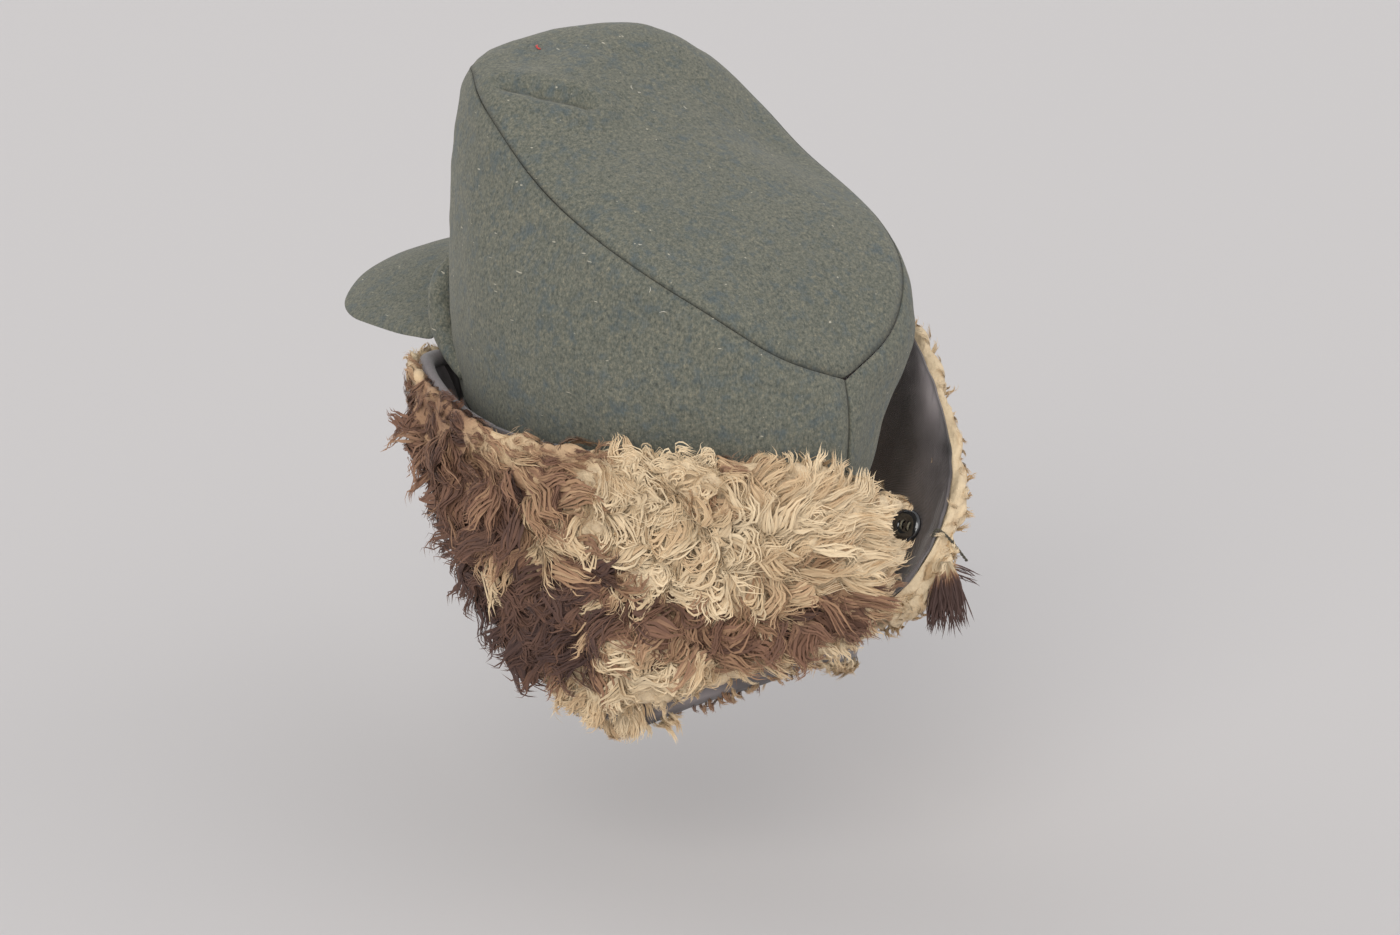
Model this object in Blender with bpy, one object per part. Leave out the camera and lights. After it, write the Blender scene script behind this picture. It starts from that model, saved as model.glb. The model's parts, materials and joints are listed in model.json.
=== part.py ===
"""A field-grey wool cap with a cloth peak, an ear and neck curtain, and two sheepskin flaps turned back to the nape.

Metres, +Z up. The origin is the centre of the head opening, where the cap sits on a head.
The face looks along -Y, the wearer's left is +X, and the cap is worn tipped back, so its opening slopes.
Each soft wall is a grid of points: stations go round the head in degrees from the face, and rows go down the cloth.
"""

import math
from collections import namedtuple

import bmesh
import bpy
from mathutils import Matrix, Vector

# Head opening
HEAD_WIDTH = 0.164
HEAD_LENGTH = 0.206
RIM_RISE = 0.032

# Cloth and skin
WOOL = 0.0026
LINING = 0.0016
GAP = 0.0003

# Crown
TOP_WIDTH = 0.150
TOP_LENGTH = 0.214
TOP_SET_BACK = 0.010
FRONT_HEIGHT = 0.158
SIDE_BELLY = 0.014
TOP_DOME = 0.015

# Peak
PEAK_REACH = 0.070
PEAK_WIDTH = 0.160
PEAK_ROOT_ANGLE = 46
PEAK_ROOT_HEIGHT = 0.038
PEAK_ARCH = 0.026
PEAK_THICKNESS = 0.0036

# Curtain and flaps
CURTAIN_DROP = 0.118
CURTAIN_FLEECE = 0.009
FLAP_STAND_OFF = 0.020
FLAP_DROP = 0.105
FLAP_FLEECE = 0.018
FLAP_CLEARANCE = 0.002
FUR_OVERHANG = 0.006
LOCK_HEIGHT = 0.007

# Button, with its place on the right flap as shares along and down it
BUTTON_RADIUS = 0.0076
BUTTON_THICKNESS = 0.0030
BUTTON_HOLE_RADIUS = 0.0009
BUTTON_HOLE_CIRCLE = 0.0021
BUTTON_SHANK = 0.0042
BUTTON_ALONG = 0.70
BUTTON_DOWN = 0.60
BUTTON_TILT = 24
SHANK_RADIUS = 0.0015

# The loose end of thread: where it leaves the flap's edge, how far it rises over the fleece and how far it reaches
TAIL_ALONG = 0.93
TAIL_RISE = 0.014
TAIL_REACH = 0.021
TAIL_RADIUS = 0.0006

# How finely the cloth is divided
CROWN_STATIONS = 24
CROWN_ROWS = 8
TOP_RINGS = 7
CURTAIN_STATIONS = 36
FLAP_ROWS = 6
LOCKS_ALONG = 16
LOCK_STRAY = 0.28

# Half of the top seam, from the front to the back: shares of TOP_WIDTH / 2, TOP_LENGTH / 2 and FRONT_HEIGHT
Seam = namedtuple("Seam", "angle across along height")
TOP_SEAM = (
    Seam(0, 0.00, -1.00, 0.965),
    Seam(20, 0.46, -0.91, 0.995),
    Seam(40, 0.80, -0.66, 0.985),
    Seam(60, 0.96, -0.36, 0.905),
    Seam(80, 1.00, -0.05, 0.775),
    Seam(100, 0.99, 0.28, 0.675),
    Seam(120, 0.90, 0.56, 0.590),
    Seam(140, 0.72, 0.79, 0.500),
    Seam(160, 0.42, 0.94, 0.385),
    Seam(180, 0.00, 1.00, 0.300),
)

# How far the side swells between rim and seam, as a share of SIDE_BELLY, and how high its fullest line lies
Swell = namedtuple("Swell", "angle share fullest")
SIDE_SWELL = (
    Swell(0, 0.40, 0.50),
    Swell(45, 0.55, 0.50),
    Swell(90, 1.00, 0.48),
    Swell(135, 0.75, 0.50),
    Swell(180, 0.80, 0.55),
)

# How far the seam sags on the wearer's right, and where along it
RIGHT_SAG = 0.004
RIGHT_SAG_ANGLE = 78
RIGHT_SAG_SPREAD = 34

# Dents in the top: place as shares of the half sizes, depth and size as shares of TOP_DOME and TOP_WIDTH
Dent = namedtuple("Dent", "across along depth length width turn")
TOP_DENTS = (
    Dent(0.38, -0.58, 0.80, 0.26, 0.075, 12),
    Dent(-0.75, -0.02, 0.70, 0.30, 0.20, 80),
    Dent(-0.20, -0.30, 0.20, 0.30, 0.12, -35),
)

# Half of the peak from its middle to its corner. Across is a share of PEAK_WIDTH / 2 and along of PEAK_REACH,
# counted from the front of the head opening. Root and edge are heights, as shares of PEAK_ARCH over the corner.
Visor = namedtuple("Visor", "place across along root edge")
PEAK = (
    Visor(0.00, 0.00, 1.00, 1.00, 0.56),
    Visor(0.20, 0.30, 0.985, 0.94, 0.52),
    Visor(0.40, 0.60, 0.93, 0.76, 0.36),
    Visor(0.60, 0.83, 0.78, 0.50, 0.12),
    Visor(0.75, 0.945, 0.54, 0.28, 0.02),
    Visor(0.90, 0.965, 0.12, 0.08, 0.00),
    Visor(1.00, 0.89, -0.26, 0.00, 0.00),
)

# The curtain: its lower edge as a share of CURTAIN_DROP, and its distance from the head as shares of FLAP_STAND_OFF
Hang = namedtuple("Hang", "angle bottom middle_out bottom_out")
CURTAIN = (
    Hang(46, 0.02, 0.05, 0.00),
    Hang(62, 0.19, 0.10, -0.15),
    Hang(78, 0.52, 0.12, -0.30),
    Hang(90, 0.76, 0.12, -0.40),
    Hang(113, 1.00, 0.12, -0.40),
    Hang(143, 0.84, 0.12, -0.40),
    Hang(180, 0.71, 0.12, -0.30),
)

# A turned-back flap from its front fold to its free end. Angles are degrees from the face at the upper and lower edge,
# heights are shares of FLAP_DROP, and distances from the head are shares of FLAP_STAND_OFF.
Fold = namedtuple("Fold", "along top_angle low_angle top low top_out low_out belly")
LEFT_FLAP = (
    Fold(0.00, 44, 88, 0.27, -0.78, -0.10, -0.60, 0.00),
    Fold(0.07, 55, 97, 0.33, -0.85, 0.85, -0.16, 0.10),
    Fold(0.20, 70, 110, 0.31, -0.91, 1.10, -0.08, 0.14),
    Fold(0.40, 98, 131, 0.23, -0.84, 1.20, 0.05, 0.10),
    Fold(0.60, 127, 149, 0.21, -0.72, 1.15, 0.20, 0.10),
    Fold(0.80, 157, 170, 0.17, -0.65, 1.10, 0.50, 0.10),
    Fold(1.00, 190, 190, 0.05, -0.60, 1.15, 0.90, 0.10),
)
RIGHT_FLAP = (
    Fold(0.00, 44, 88, 0.27, -0.78, -0.10, -0.60, 0.00),
    Fold(0.07, 54, 96, 0.35, -0.85, 0.85, -0.16, 0.10),
    Fold(0.20, 66, 106, 0.40, -0.96, 1.20, 0.00, 0.10),
    Fold(0.40, 88, 118, 0.42, -0.91, 1.50, 0.20, 0.10),
    Fold(0.60, 107, 131, 0.31, -0.82, 1.70, 0.30, 0.10),
    Fold(0.80, 128, 144, -0.14, -0.72, 1.80, 0.40, 0.05),
    Fold(1.00, 151, 158, -0.50, -0.62, 0.95, 0.30, 0.00),
)

COLOURS = {
    "field_grey_wool": ((0.125, 0.140, 0.118, 1), 0.95, 0.0),
    "grey_lining": ((0.085, 0.072, 0.078, 1), 0.45, 0.0),
    "cream_fleece": ((0.56, 0.40, 0.24, 1), 0.9, 0.0),
    "brown_fleece": ((0.13, 0.06, 0.035, 1), 0.9, 0.0),
    "dark_button": ((0.025, 0.025, 0.03, 1), 0.2, 0.0),
    "dark_thread": ((0.08, 0.07, 0.05, 1), 0.8, 0.0),
}


def clear_scene():
    for thing in list(bpy.data.objects):
        bpy.data.objects.remove(thing)


def material(name):
    found = bpy.data.materials.get(name)
    if found:
        return found
    colour, roughness, metallic = COLOURS[name]
    made = bpy.data.materials.new(name)
    made.use_nodes = True
    shader = made.node_tree.nodes["Principled BSDF"]
    shader.inputs["Base Color"].default_value = colour
    shader.inputs["Roughness"].default_value = roughness
    shader.inputs["Metallic"].default_value = metallic
    made.diffuse_color = colour
    return made


def read(table, column, at):
    """The table's column at a place along its first column, on a smooth curve through the rows."""
    xs = [row[0] for row in table]
    ys = [getattr(row, column) for row in table]
    at = min(max(at, xs[0]), xs[-1])
    i = max(k for k in range(len(xs) - 1) if xs[k] <= at)
    slopes = []
    for k in (i, i + 1):
        low, high = max(k - 1, 0), min(k + 1, len(xs) - 1)
        slopes.append((ys[high] - ys[low]) / (xs[high] - xs[low]))
    span = xs[i + 1] - xs[i]
    t = (at - xs[i]) / span
    rise = ys[i + 1] - ys[i]
    return (
        ys[i]
        + rise * t * t * (3 - 2 * t)
        + span * t * (1 - t) * (slopes[0] * (1 - t) - slopes[1] * t)
    )


def share(i, count):
    return i / count


def head_point(angle, out, height):
    """A point at a distance out from the head's oval, at an angle from the face and a height."""
    turn = math.radians(angle)
    x = (HEAD_WIDTH / 2 + out) * math.sin(turn)
    y = -(HEAD_LENGTH / 2 + out) * math.cos(turn)
    return Vector((x, y, height))


def rim_height(angle):
    return RIM_RISE * math.cos(math.radians(angle))


def seam_point(angle):
    """The seam between the top and the sides. Negative angles are the wearer's right."""
    side = abs(angle)
    x = math.copysign(TOP_WIDTH / 2 * read(TOP_SEAM, "across", side), angle)
    y = TOP_SET_BACK + TOP_LENGTH / 2 * read(TOP_SEAM, "along", side)
    return Vector((x, y, FRONT_HEIGHT * read(TOP_SEAM, "height", side) - right_sag(angle)))


def right_sag(angle):
    """How far the seam sags at an angle: only on the wearer's right."""
    if angle >= 0:
        return 0.0
    return RIGHT_SAG * math.exp(-(((-angle - RIGHT_SAG_ANGLE) / RIGHT_SAG_SPREAD) ** 2))


def seam_mitre(angle):
    """The way from the seam into the mitre between top and side, and the way across that mitre."""
    point = seam_point(angle)
    inward = Vector((-point.x, TOP_SET_BACK - point.y, 0)).normalized()
    down = Vector((0, 0, -1))
    return (inward + down) * WOOL, (inward - down).normalized() * GAP / 2


def dent_depth(across, along):
    """How far the top sinks at a place given as shares of its half width and half length."""
    total = 0.0
    for dent in TOP_DENTS:
        turn = math.radians(dent.turn)
        dx = (across - dent.across) * 0.5
        dy = (along - dent.along) * 0.5 * TOP_LENGTH / TOP_WIDTH
        u = (dx * math.cos(turn) + dy * math.sin(turn)) / dent.length
        v = (dy * math.cos(turn) - dx * math.sin(turn)) / dent.width
        total += dent.depth * math.exp(-2 * (u * u + v * v))
    return total * TOP_DOME


def seam_angle_at(along):
    """The angle at which the seam passes a place along the cap, given as a share of half the length."""
    low, high = 0.0, 180.0
    for _ in range(20):
        middle = (low + high) / 2
        if read(TOP_SEAM, "along", middle) < along:
            low = middle
        else:
            high = middle
    return low


def top_point(angle, ring):
    """A point on the top: ring 1 is the seam and ring 0 the middle."""
    edge = seam_point(angle)
    x = edge.x * ring
    y = TOP_SET_BACK + (edge.y - TOP_SET_BACK) * ring
    across = x / (TOP_WIDTH / 2)
    along = (y - TOP_SET_BACK) / (TOP_LENGTH / 2)
    level = seam_angle_at(along)
    lean = max(0.0, -across)
    base = FRONT_HEIGHT * read(TOP_SEAM, "height", level) - right_sag(-level) * lean
    dome = TOP_DOME * (1 - ring**4) * (1 - 0.55 * along)
    sunk = dent_depth(across, along) * (1 - ring**4)
    return Vector((x, y, base + dome - sunk))


def side_point(angle, up):
    """A point on the outside of the cap's side: up 0 is the rim and 1 the top seam."""
    rim = head_point(angle, WOOL, rim_height(angle))
    seam = seam_point(angle)
    fullest = read(SIDE_SWELL, "fullest", abs(angle))
    bent = up ** (math.log(0.5) / math.log(fullest))
    swell = SIDE_BELLY * read(SIDE_SWELL, "share", abs(angle)) * 4 * bent * (1 - bent)
    outward = head_point(angle, 1, 0) - head_point(angle, 0, 0)
    return rim.lerp(seam, up) + outward * swell


def curtain_hang(angle, down):
    """Height of the curtain and distance of its inner skin from the head: down 0 is the rim and 1 the lower edge."""
    rim = rim_height(angle) - GAP
    bottom = min(-CURTAIN_DROP * read(CURTAIN, "bottom", angle), rim - FUR_OVERHANG)
    bulge = FLAP_STAND_OFF * read(CURTAIN, "middle_out", angle) * math.sin(math.pi * down)
    return rim + (bottom - rim) * down, FLAP_STAND_OFF * read(CURTAIN, "bottom_out", angle) * down**2 + bulge


def curtain_point(angle, down, out):
    """A point on the curtain, out from its inner skin."""
    height, distance = curtain_hang(abs(angle), down)
    return head_point(angle, distance + out, height)


def distance_from_head(point):
    """How far out from the head's oval a point lies, by halving the interval."""
    low, high = -0.05, 0.10
    for _ in range(24):
        middle = (low + high) / 2
        across = point.x / (HEAD_WIDTH / 2 + middle)
        along = point.y / (HEAD_LENGTH / 2 + middle)
        if across * across + along * along > 1:
            low = middle
        else:
            high = middle
    return low


def layer_below(angle, height):
    """How far out the crown or the curtain reaches at an angle and a height. The flaps lie clear of it."""
    side = angle if angle <= 180 else 360 - angle
    rim = rim_height(side)
    if height > rim:
        return distance_from_head(side_point(side, side_place(side, height)))
    bottom = curtain_hang(side, 1)[0]
    down = min((rim - height) / (rim - bottom), 1.0)
    return curtain_hang(side, down)[1] + LINING


def rounded_end(along):
    """How much of its height a flap keeps as it rounds off towards its free end."""
    start = 0.84
    past = max(0.0, (along - start) / (1 - start))
    return math.sqrt(1 - 0.72 * past * past)


def flap_place(table, along, down):
    """Angle, distance from the head and height of a flap's inner face."""
    lower = read(table, "low", along)
    upper = read(table, "top", along)
    middle = (lower + upper) / 2
    keep = rounded_end(along)
    height = middle + (upper - middle) * keep * (1 - 2 * down)
    angle_top = read(table, "top_angle", along)
    angle_low = read(table, "low_angle", along)
    angle = angle_top + (angle_low - angle_top) * down
    top_out = read(table, "top_out", along)
    low_out = read(table, "low_out", along)
    belly = read(table, "belly", along) * 4 * down * (1 - down)
    out = (top_out + (low_out - top_out) * down + belly) * FLAP_STAND_OFF
    seam = max(0.0, 1 - along / 0.06)
    clear = layer_below(angle, height * FLAP_DROP) + FLAP_CLEARANCE + (2 * GAP - FLAP_CLEARANCE) * seam
    return angle, max(out, clear), height * FLAP_DROP


def flap_point(side, along, down, out):
    """A point on the left (1) or right (-1) flap, out from its inner face, squared to the wall."""
    table = LEFT_FLAP if side > 0 else RIGHT_FLAP
    step = 0.01

    def skin(a, d):
        angle, distance, height = flap_place(table, a, d)
        return head_point(side * angle, distance, height)

    held_along = min(max(along, 0.0), 1.0)
    held_down = min(max(down, 0.0), 1.0)
    here = skin(held_along, held_down)
    run = skin(min(held_along + step, 1), held_down) - skin(max(held_along - step, 0), held_down)
    fall = skin(held_along, min(held_down + step, 1)) - skin(held_along, max(held_down - step, 0))
    normal = fall.cross(run).normalized() * side
    past = run.normalized() * (along - held_along) + fall.normalized() * (down - held_down)
    return here + normal * out + past


def stray(i, j, seed):
    """A fixed, uneven number from -1 to 1 for a grid point."""
    return math.sin(12.9 * i + 78.2 * j + 37.7 * seed + 0.9 * i * j)


def lock_share(i, j):
    """The lift of one point of a fleece, 0 in a parting and 1 on a lock's tip. Locks lie in staggered rows."""
    row = j // 2
    on_ridge = (i + row) % 2
    tip = 1.0 if j % 2 else 0.45
    return on_ridge * tip * (0.75 + 0.25 * stray(i, j, 1))


def shell(name, outer, inner, finish, wrap=False, pole=False):
    """One closed body from an outer and an inner grid of rows. wrap joins each row's ends, and pole closes the last row."""
    mesh = bmesh.new()
    layers = []
    for grid in (outer, inner):
        rows = [[mesh.verts.new(point) for point in row] for row in grid]
        columns = len(rows[0])
        last = columns if wrap else columns - 1
        for upper, lower in zip(rows, rows[1:]):
            for i in range(last):
                k = (i + 1) % columns
                mesh.faces.new((upper[i], upper[k], lower[k], lower[i]))
        if pole:
            middle = mesh.verts.new(sum((v.co for v in rows[-1]), Vector()) / columns)
            for i in range(last):
                mesh.faces.new((rows[-1][i], rows[-1][(i + 1) % columns], middle))
        layers.append(rows)
    first, second = layers
    for i in range(last):
        k = (i + 1) % columns
        mesh.faces.new((first[0][i], first[0][k], second[0][k], second[0][i]))
        if not pole:
            mesh.faces.new((first[-1][i], first[-1][k], second[-1][k], second[-1][i]))
    if not wrap:
        for j in range(len(first) - 1):
            for i in (0, -1):
                mesh.faces.new((first[j][i], first[j + 1][i], second[j + 1][i], second[j][i]))
    return finish_mesh(name, mesh, finish)


def finish_mesh(name, mesh, finish):
    bmesh.ops.recalc_face_normals(mesh, faces=mesh.faces)
    data = bpy.data.meshes.new(name)
    mesh.to_mesh(data)
    mesh.free()
    data.materials.append(material(finish))
    data.shade_smooth()
    data.set_sharp_from_angle(angle=math.radians(50))
    made = bpy.data.objects.new(name, data)
    bpy.context.scene.collection.objects.link(made)
    return made


def offset_inward(grid, thickness, wrap=False):
    """The grid's points moved square to its surface, towards the middle of the cap."""
    centre = Vector((0, 0, FRONT_HEIGHT / 2))
    moved = []
    for j, row in enumerate(grid):
        new_row = []
        for i, point in enumerate(row):
            if wrap:
                before, after = row[i - 1], row[(i + 1) % len(row)]
            else:
                before, after = row[max(i - 1, 0)], row[min(i + 1, len(row) - 1)]
            above, below = grid[max(j - 1, 0)][i], grid[min(j + 1, len(grid) - 1)][i]
            normal = (after - before).cross(below - above).normalized()
            if normal.dot(centre - point) < 0:
                normal.negate()
            new_row.append(point + normal * thickness)
        moved.append(new_row)
    return moved


def make_top():
    """The oval top of the crown, domed and dented, mitred to the sides at its seam."""
    angles = [360 * share(i, 2 * CROWN_STATIONS) for i in range(2 * CROWN_STATIONS)]
    angles = [a if a <= 180 else a - 360 for a in angles]
    outer = [[top_point(a, 1 - share(j, TOP_RINGS)) for a in angles] for j in range(TOP_RINGS)]
    inner = offset_inward(outer, WOOL, wrap=True)
    for i, angle in enumerate(angles):
        into, across = seam_mitre(angle)
        outer[0][i] = seam_point(angle) + across
        inner[0][i] = seam_point(angle) + into + across
    return shell("crown_top", outer, inner, "field_grey_wool", wrap=True, pole=True)


def make_side(name, side):
    """One half of the crown's side, from the front seam round to the seam down the back."""
    angles = [side * 180 * share(i, CROWN_STATIONS) for i in range(CROWN_STATIONS + 1)]
    outer = [[side_point(a, 1 - share(j, CROWN_ROWS)) for a in angles] for j in range(CROWN_ROWS + 1)]
    inner = offset_inward(outer, WOOL)
    for i, angle in enumerate(angles):
        into, across = seam_mitre(angle)
        outer[0][i] = seam_point(angle) - across
        inner[0][i] = seam_point(angle) + into - across
        inner[-1][i] = head_point(angle, 0, rim_height(angle))
    for grid in (outer, inner):
        for row in grid:
            for i in (0, -1):
                row[i].x = side * GAP / 2
    return shell(name, outer, inner, "field_grey_wool")


def side_place(angle, height):
    """How far up the cap's side a height lies: 0 at the rim and 1 at the top seam."""
    rim = rim_height(angle)
    return min(max((height - rim) / (seam_point(angle).z - rim), 0.0), 1.0)


def peak_point(place, reach, under):
    """A point on the peak: reach 0 is its root on the crown and 1 its edge, and under is the depth below its top."""
    half = abs(place)
    angle = PEAK_ROOT_ANGLE * place
    height = PEAK_ROOT_HEIGHT + PEAK_ARCH * read(PEAK, "root", half)
    root = side_point(angle, side_place(angle, height))
    root += Vector((root.x, root.y, 0)).normalized() * 3 * GAP
    across = math.copysign(PEAK_WIDTH / 2 * read(PEAK, "across", half), place)
    along = -HEAD_LENGTH / 2 - PEAK_REACH * read(PEAK, "along", half)
    rise = PEAK_ROOT_HEIGHT + PEAK_ARCH * read(PEAK, "edge", half)
    edge = Vector((across, along, rise))
    arched = 0.10 * PEAK_ARCH * math.sin(math.pi * reach)
    return root.lerp(edge, reach) + Vector((0, 0, arched - under))


def make_peak():
    """The stiffened, cloth-covered peak, curved from temple to temple."""
    stations = 24
    rows = 5
    places = [2 * share(i, stations) - 1 for i in range(stations + 1)]
    outer = []
    inner = []
    for j in range(rows + 1):
        reach = share(j, rows)
        edge = 0.35 * PEAK_THICKNESS * reach**6
        outer.append([peak_point(a, reach, edge) for a in places])
        inner.append([peak_point(a, reach, PEAK_THICKNESS - edge) for a in places])
    return shell("peak", outer, inner, "field_grey_wool")


def make_curtain():
    """The curtain over ears and nape: a lining outside and a clipped fleece inside."""
    start = CURTAIN[0].angle
    span = 360 - 2 * start
    rows = FLAP_ROWS

    def grid(out, lift=None):
        made = []
        for j in range(rows + 1):
            row = []
            for i in range(CURTAIN_STATIONS + 1):
                angle = start + span * share(i, CURTAIN_STATIONS)
                angle = angle if angle <= 180 else angle - 360
                fluff = lift(i, j) if lift else 0
                row.append(curtain_point(angle, share(j, rows), out - fluff))
            made.append(row)
        return made

    def fluff(i, j):
        edge = min(1.0, j / 2) * min(1.0, i / 2, (CURTAIN_STATIONS - i) / 2)
        return CURTAIN_FLEECE * (0.35 + 0.65 * edge) * (0.8 + 0.2 * lock_share(i, j))

    lining = shell("curtain_lining", grid(LINING), grid(0), "grey_lining")
    fleece = shell("curtain_fleece", grid(-GAP), grid(-GAP, fluff), "cream_fleece")
    return lining, fleece


def flap_lift(side, i, j, columns, rows):
    """How far the fleece of a flap stands out at a grid point, and how far it hangs past the flap's edge."""
    edge = min(1.0, i / 3, (columns - i) / 3, j / 2, (rows - j) / 2)
    body = FLAP_FLEECE * (0.45 + 0.55 * edge)
    if side < 0:
        body *= 0.80
    return body + LOCK_HEIGHT * (lock_share(i, j) - 0.5)


def make_flap(name, side):
    """One flap turned back along the side of the head: a lining towards the crown and deep fleece outside."""
    lining_outer = []
    lining_inner = []
    stations = 2 * LOCKS_ALONG
    alongs = [share(i, stations) for i in range(stations + 1)]
    for j in range(FLAP_ROWS + 1):
        down = share(j, FLAP_ROWS)
        lining_outer.append([flap_point(side, a, down, LINING) for a in alongs])
        lining_inner.append([flap_point(side, a, down, 0) for a in alongs])
    lining = shell(name + "_lining", lining_outer, lining_inner, "grey_lining")
    return lining, make_flap_fleece(name, side)


def make_flap_fleece(name, side):
    """The deep fleece on a flap's outside: a grid of locks fused to a backing."""
    columns, rows = 2 * LOCKS_ALONG, 2 * FLAP_ROWS
    base = LINING + 2 * GAP
    fur_outer = []
    fur_inner = []
    for j in range(rows + 1):
        past_down = FUR_OVERHANG * {0: -1.0, rows: 1.0}.get(j, 0.0)
        outer_row = []
        inner_row = []
        for i in range(columns + 1):
            past_along = FUR_OVERHANG * {0: -0.6, columns: 1.0}.get(i, 0.0)
            within = 0 < i < columns and 0 < j < rows
            drift = LOCK_STRAY if within else 0.0
            along = share(i + drift * stray(i, j, 2), columns) + past_along
            down = share(j + drift * stray(i, j, 3), rows) + past_down
            lift = base + flap_lift(side, i, j, columns, rows)
            outer_row.append(flap_point(side, along, down, lift))
            above = flap_point(side, share(i, columns), share(j // 2, FLAP_ROWS), base)
            below = flap_point(side, share(i, columns), share((j + 1) // 2, FLAP_ROWS), base)
            inner_row.append((above + below) / 2)
        fur_outer.append(outer_row)
        fur_inner.append(inner_row)
    finish = "brown_fleece" if side > 0 else "cream_fleece"
    return shell(name + "_fleece", fur_outer, fur_inner, finish)


def turned(name, profile, segments, start, axis, finish):
    """A body of revolution from a profile of (radius, height) points that starts and ends on its axis."""
    mesh = bmesh.new()
    place = Matrix.Translation(start) @ axis.to_track_quat("Z", "Y").to_matrix().to_4x4()
    first = mesh.verts.new(place @ Vector((0, 0, profile[0][1])))
    last = mesh.verts.new(place @ Vector((0, 0, profile[-1][1])))
    rings = []
    for radius, height in profile[1:-1]:
        turns = [2 * math.pi * share(i, segments) for i in range(segments)]
        ring = [Vector((radius * math.cos(t), radius * math.sin(t), height)) for t in turns]
        rings.append([mesh.verts.new(place @ point) for point in ring])
    for i in range(segments):
        k = (i + 1) % segments
        mesh.faces.new((first, rings[0][k], rings[0][i]))
        mesh.faces.new((last, rings[-1][i], rings[-1][k]))
        for lower, upper in zip(rings, rings[1:]):
            mesh.faces.new((lower[i], lower[k], upper[k], upper[i]))
    return finish_mesh(name, mesh, finish)


def button_seat():
    """The point on the right flap's lining under the button, the way out of it, and the way the button faces."""
    seat = flap_point(-1, BUTTON_ALONG, BUTTON_DOWN, 0)
    out = (flap_point(-1, BUTTON_ALONG, BUTTON_DOWN, -0.01) - seat).normalized()
    back_and_up = Vector((0, 1, 0.2)).normalized()
    hinge = out.cross(back_and_up).normalized()
    facing = Matrix.Rotation(math.radians(BUTTON_TILT), 3, hinge) @ out
    return seat, out, facing


def make_button():
    """A dished button with four holes, on a thread shank."""
    seat, out, facing = button_seat()
    back = seat + out * BUTTON_SHANK
    r, t = BUTTON_RADIUS, BUTTON_THICKNESS
    profile = ((0, 0), (0.80 * r, 0), (r, 0.30 * t), (r, 0.65 * t), (0.88 * r, t), (0.70 * r, t), (0.56 * r, 0.68 * t))
    button = turned("button", profile + ((0, 0.68 * t),), 24, back, facing, "dark_button")
    turn = facing.to_track_quat("Z", "Y")
    for k in range(4):
        angle = math.radians(45 + 90 * k)
        aside = Vector((math.cos(angle), math.sin(angle), 0)) * BUTTON_HOLE_CIRCLE
        start = back + turn @ (aside + Vector((0, 0, -t)))
        hole = ((0, 0), (BUTTON_HOLE_RADIUS, 0), (BUTTON_HOLE_RADIUS, 3 * t), (0, 3 * t))
        cut_away(button, turned("hole", hole, 8, start, facing, "dark_button"))
    length = BUTTON_SHANK - 4 * GAP
    shank = ((0, 0), (SHANK_RADIUS, 0), (0.6 * SHANK_RADIUS, length), (0, length))
    turned("button_thread", shank, 10, seat + out * 2 * GAP, out, "dark_thread")
    return button


def cut_away(body, tool):
    cut = body.modifiers.new("cut", "BOOLEAN")
    cut.operation = "DIFFERENCE"
    cut.solver = "EXACT"
    cut.object = tool
    bpy.context.view_layer.update()
    seen = body.evaluated_get(bpy.context.evaluated_depsgraph_get())
    data = bpy.data.meshes.new_from_object(seen)
    body.modifiers.remove(cut)
    body.data = data
    bpy.data.objects.remove(tool)


def make_tail():
    """The stiff loose end of thread, rising over the flap's edge and out across its fleece."""
    path = (
        flap_point(-1, TAIL_ALONG, 0.02, -2 * TAIL_RADIUS),
        flap_point(-1, TAIL_ALONG, -0.45 * TAIL_RISE, -2 * TAIL_RADIUS),
        flap_point(-1, TAIL_ALONG, -0.90 * TAIL_RISE, 0.15 * TAIL_REACH),
        flap_point(-1, TAIL_ALONG, -TAIL_RISE, 0.60 * TAIL_REACH),
        flap_point(-1, TAIL_ALONG, -0.85 * TAIL_RISE, TAIL_REACH),
    )
    segments = 6
    mesh = bmesh.new()
    rings = []
    for i, point in enumerate(path):
        along = (path[min(i + 1, len(path) - 1)] - path[max(i - 1, 0)]).normalized()
        turn = along.to_track_quat("Z", "Y")
        ring = []
        for k in range(segments):
            angle = 2 * math.pi * share(k, segments)
            ring.append(mesh.verts.new(point + turn @ Vector((math.cos(angle), math.sin(angle), 0)) * TAIL_RADIUS))
        rings.append(ring)
    for lower, upper in zip(rings, rings[1:]):
        for k in range(segments):
            n = (k + 1) % segments
            mesh.faces.new((lower[k], lower[n], upper[n], upper[k]))
    mesh.faces.new(rings[0])
    mesh.faces.new(rings[-1])
    return finish_mesh("thread_tail", mesh, "dark_thread")


def build():
    clear_scene()
    make_top()
    make_side("side_left", 1)
    make_side("side_right", -1)
    make_peak()
    make_curtain()
    make_flap("left_flap", 1)
    make_flap("right_flap", -1)
    make_button()
    make_tail()


build()
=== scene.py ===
# %% [markdown]
# A field cap with fleece flaps
#
# This lesson dresses the plain model of a wool field cap. The cap has a felted wool crown in three panels, a
# cloth peak, and flaps of curly sheepskin that are folded back round the sides and meet at the nape.
# The model gives every size and place, so each step below starts from one of its pieces. The wool panels
# are smoothed copies of the model's panels, and the fleece is grown on copies of its fleece bodies.

# %% Load the model of the cap
import json
import math
import random

import bmesh
import bpy
import numpy as np
from mathutils import Matrix, Vector
from mathutils.bvhtree import BVHTree

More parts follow.
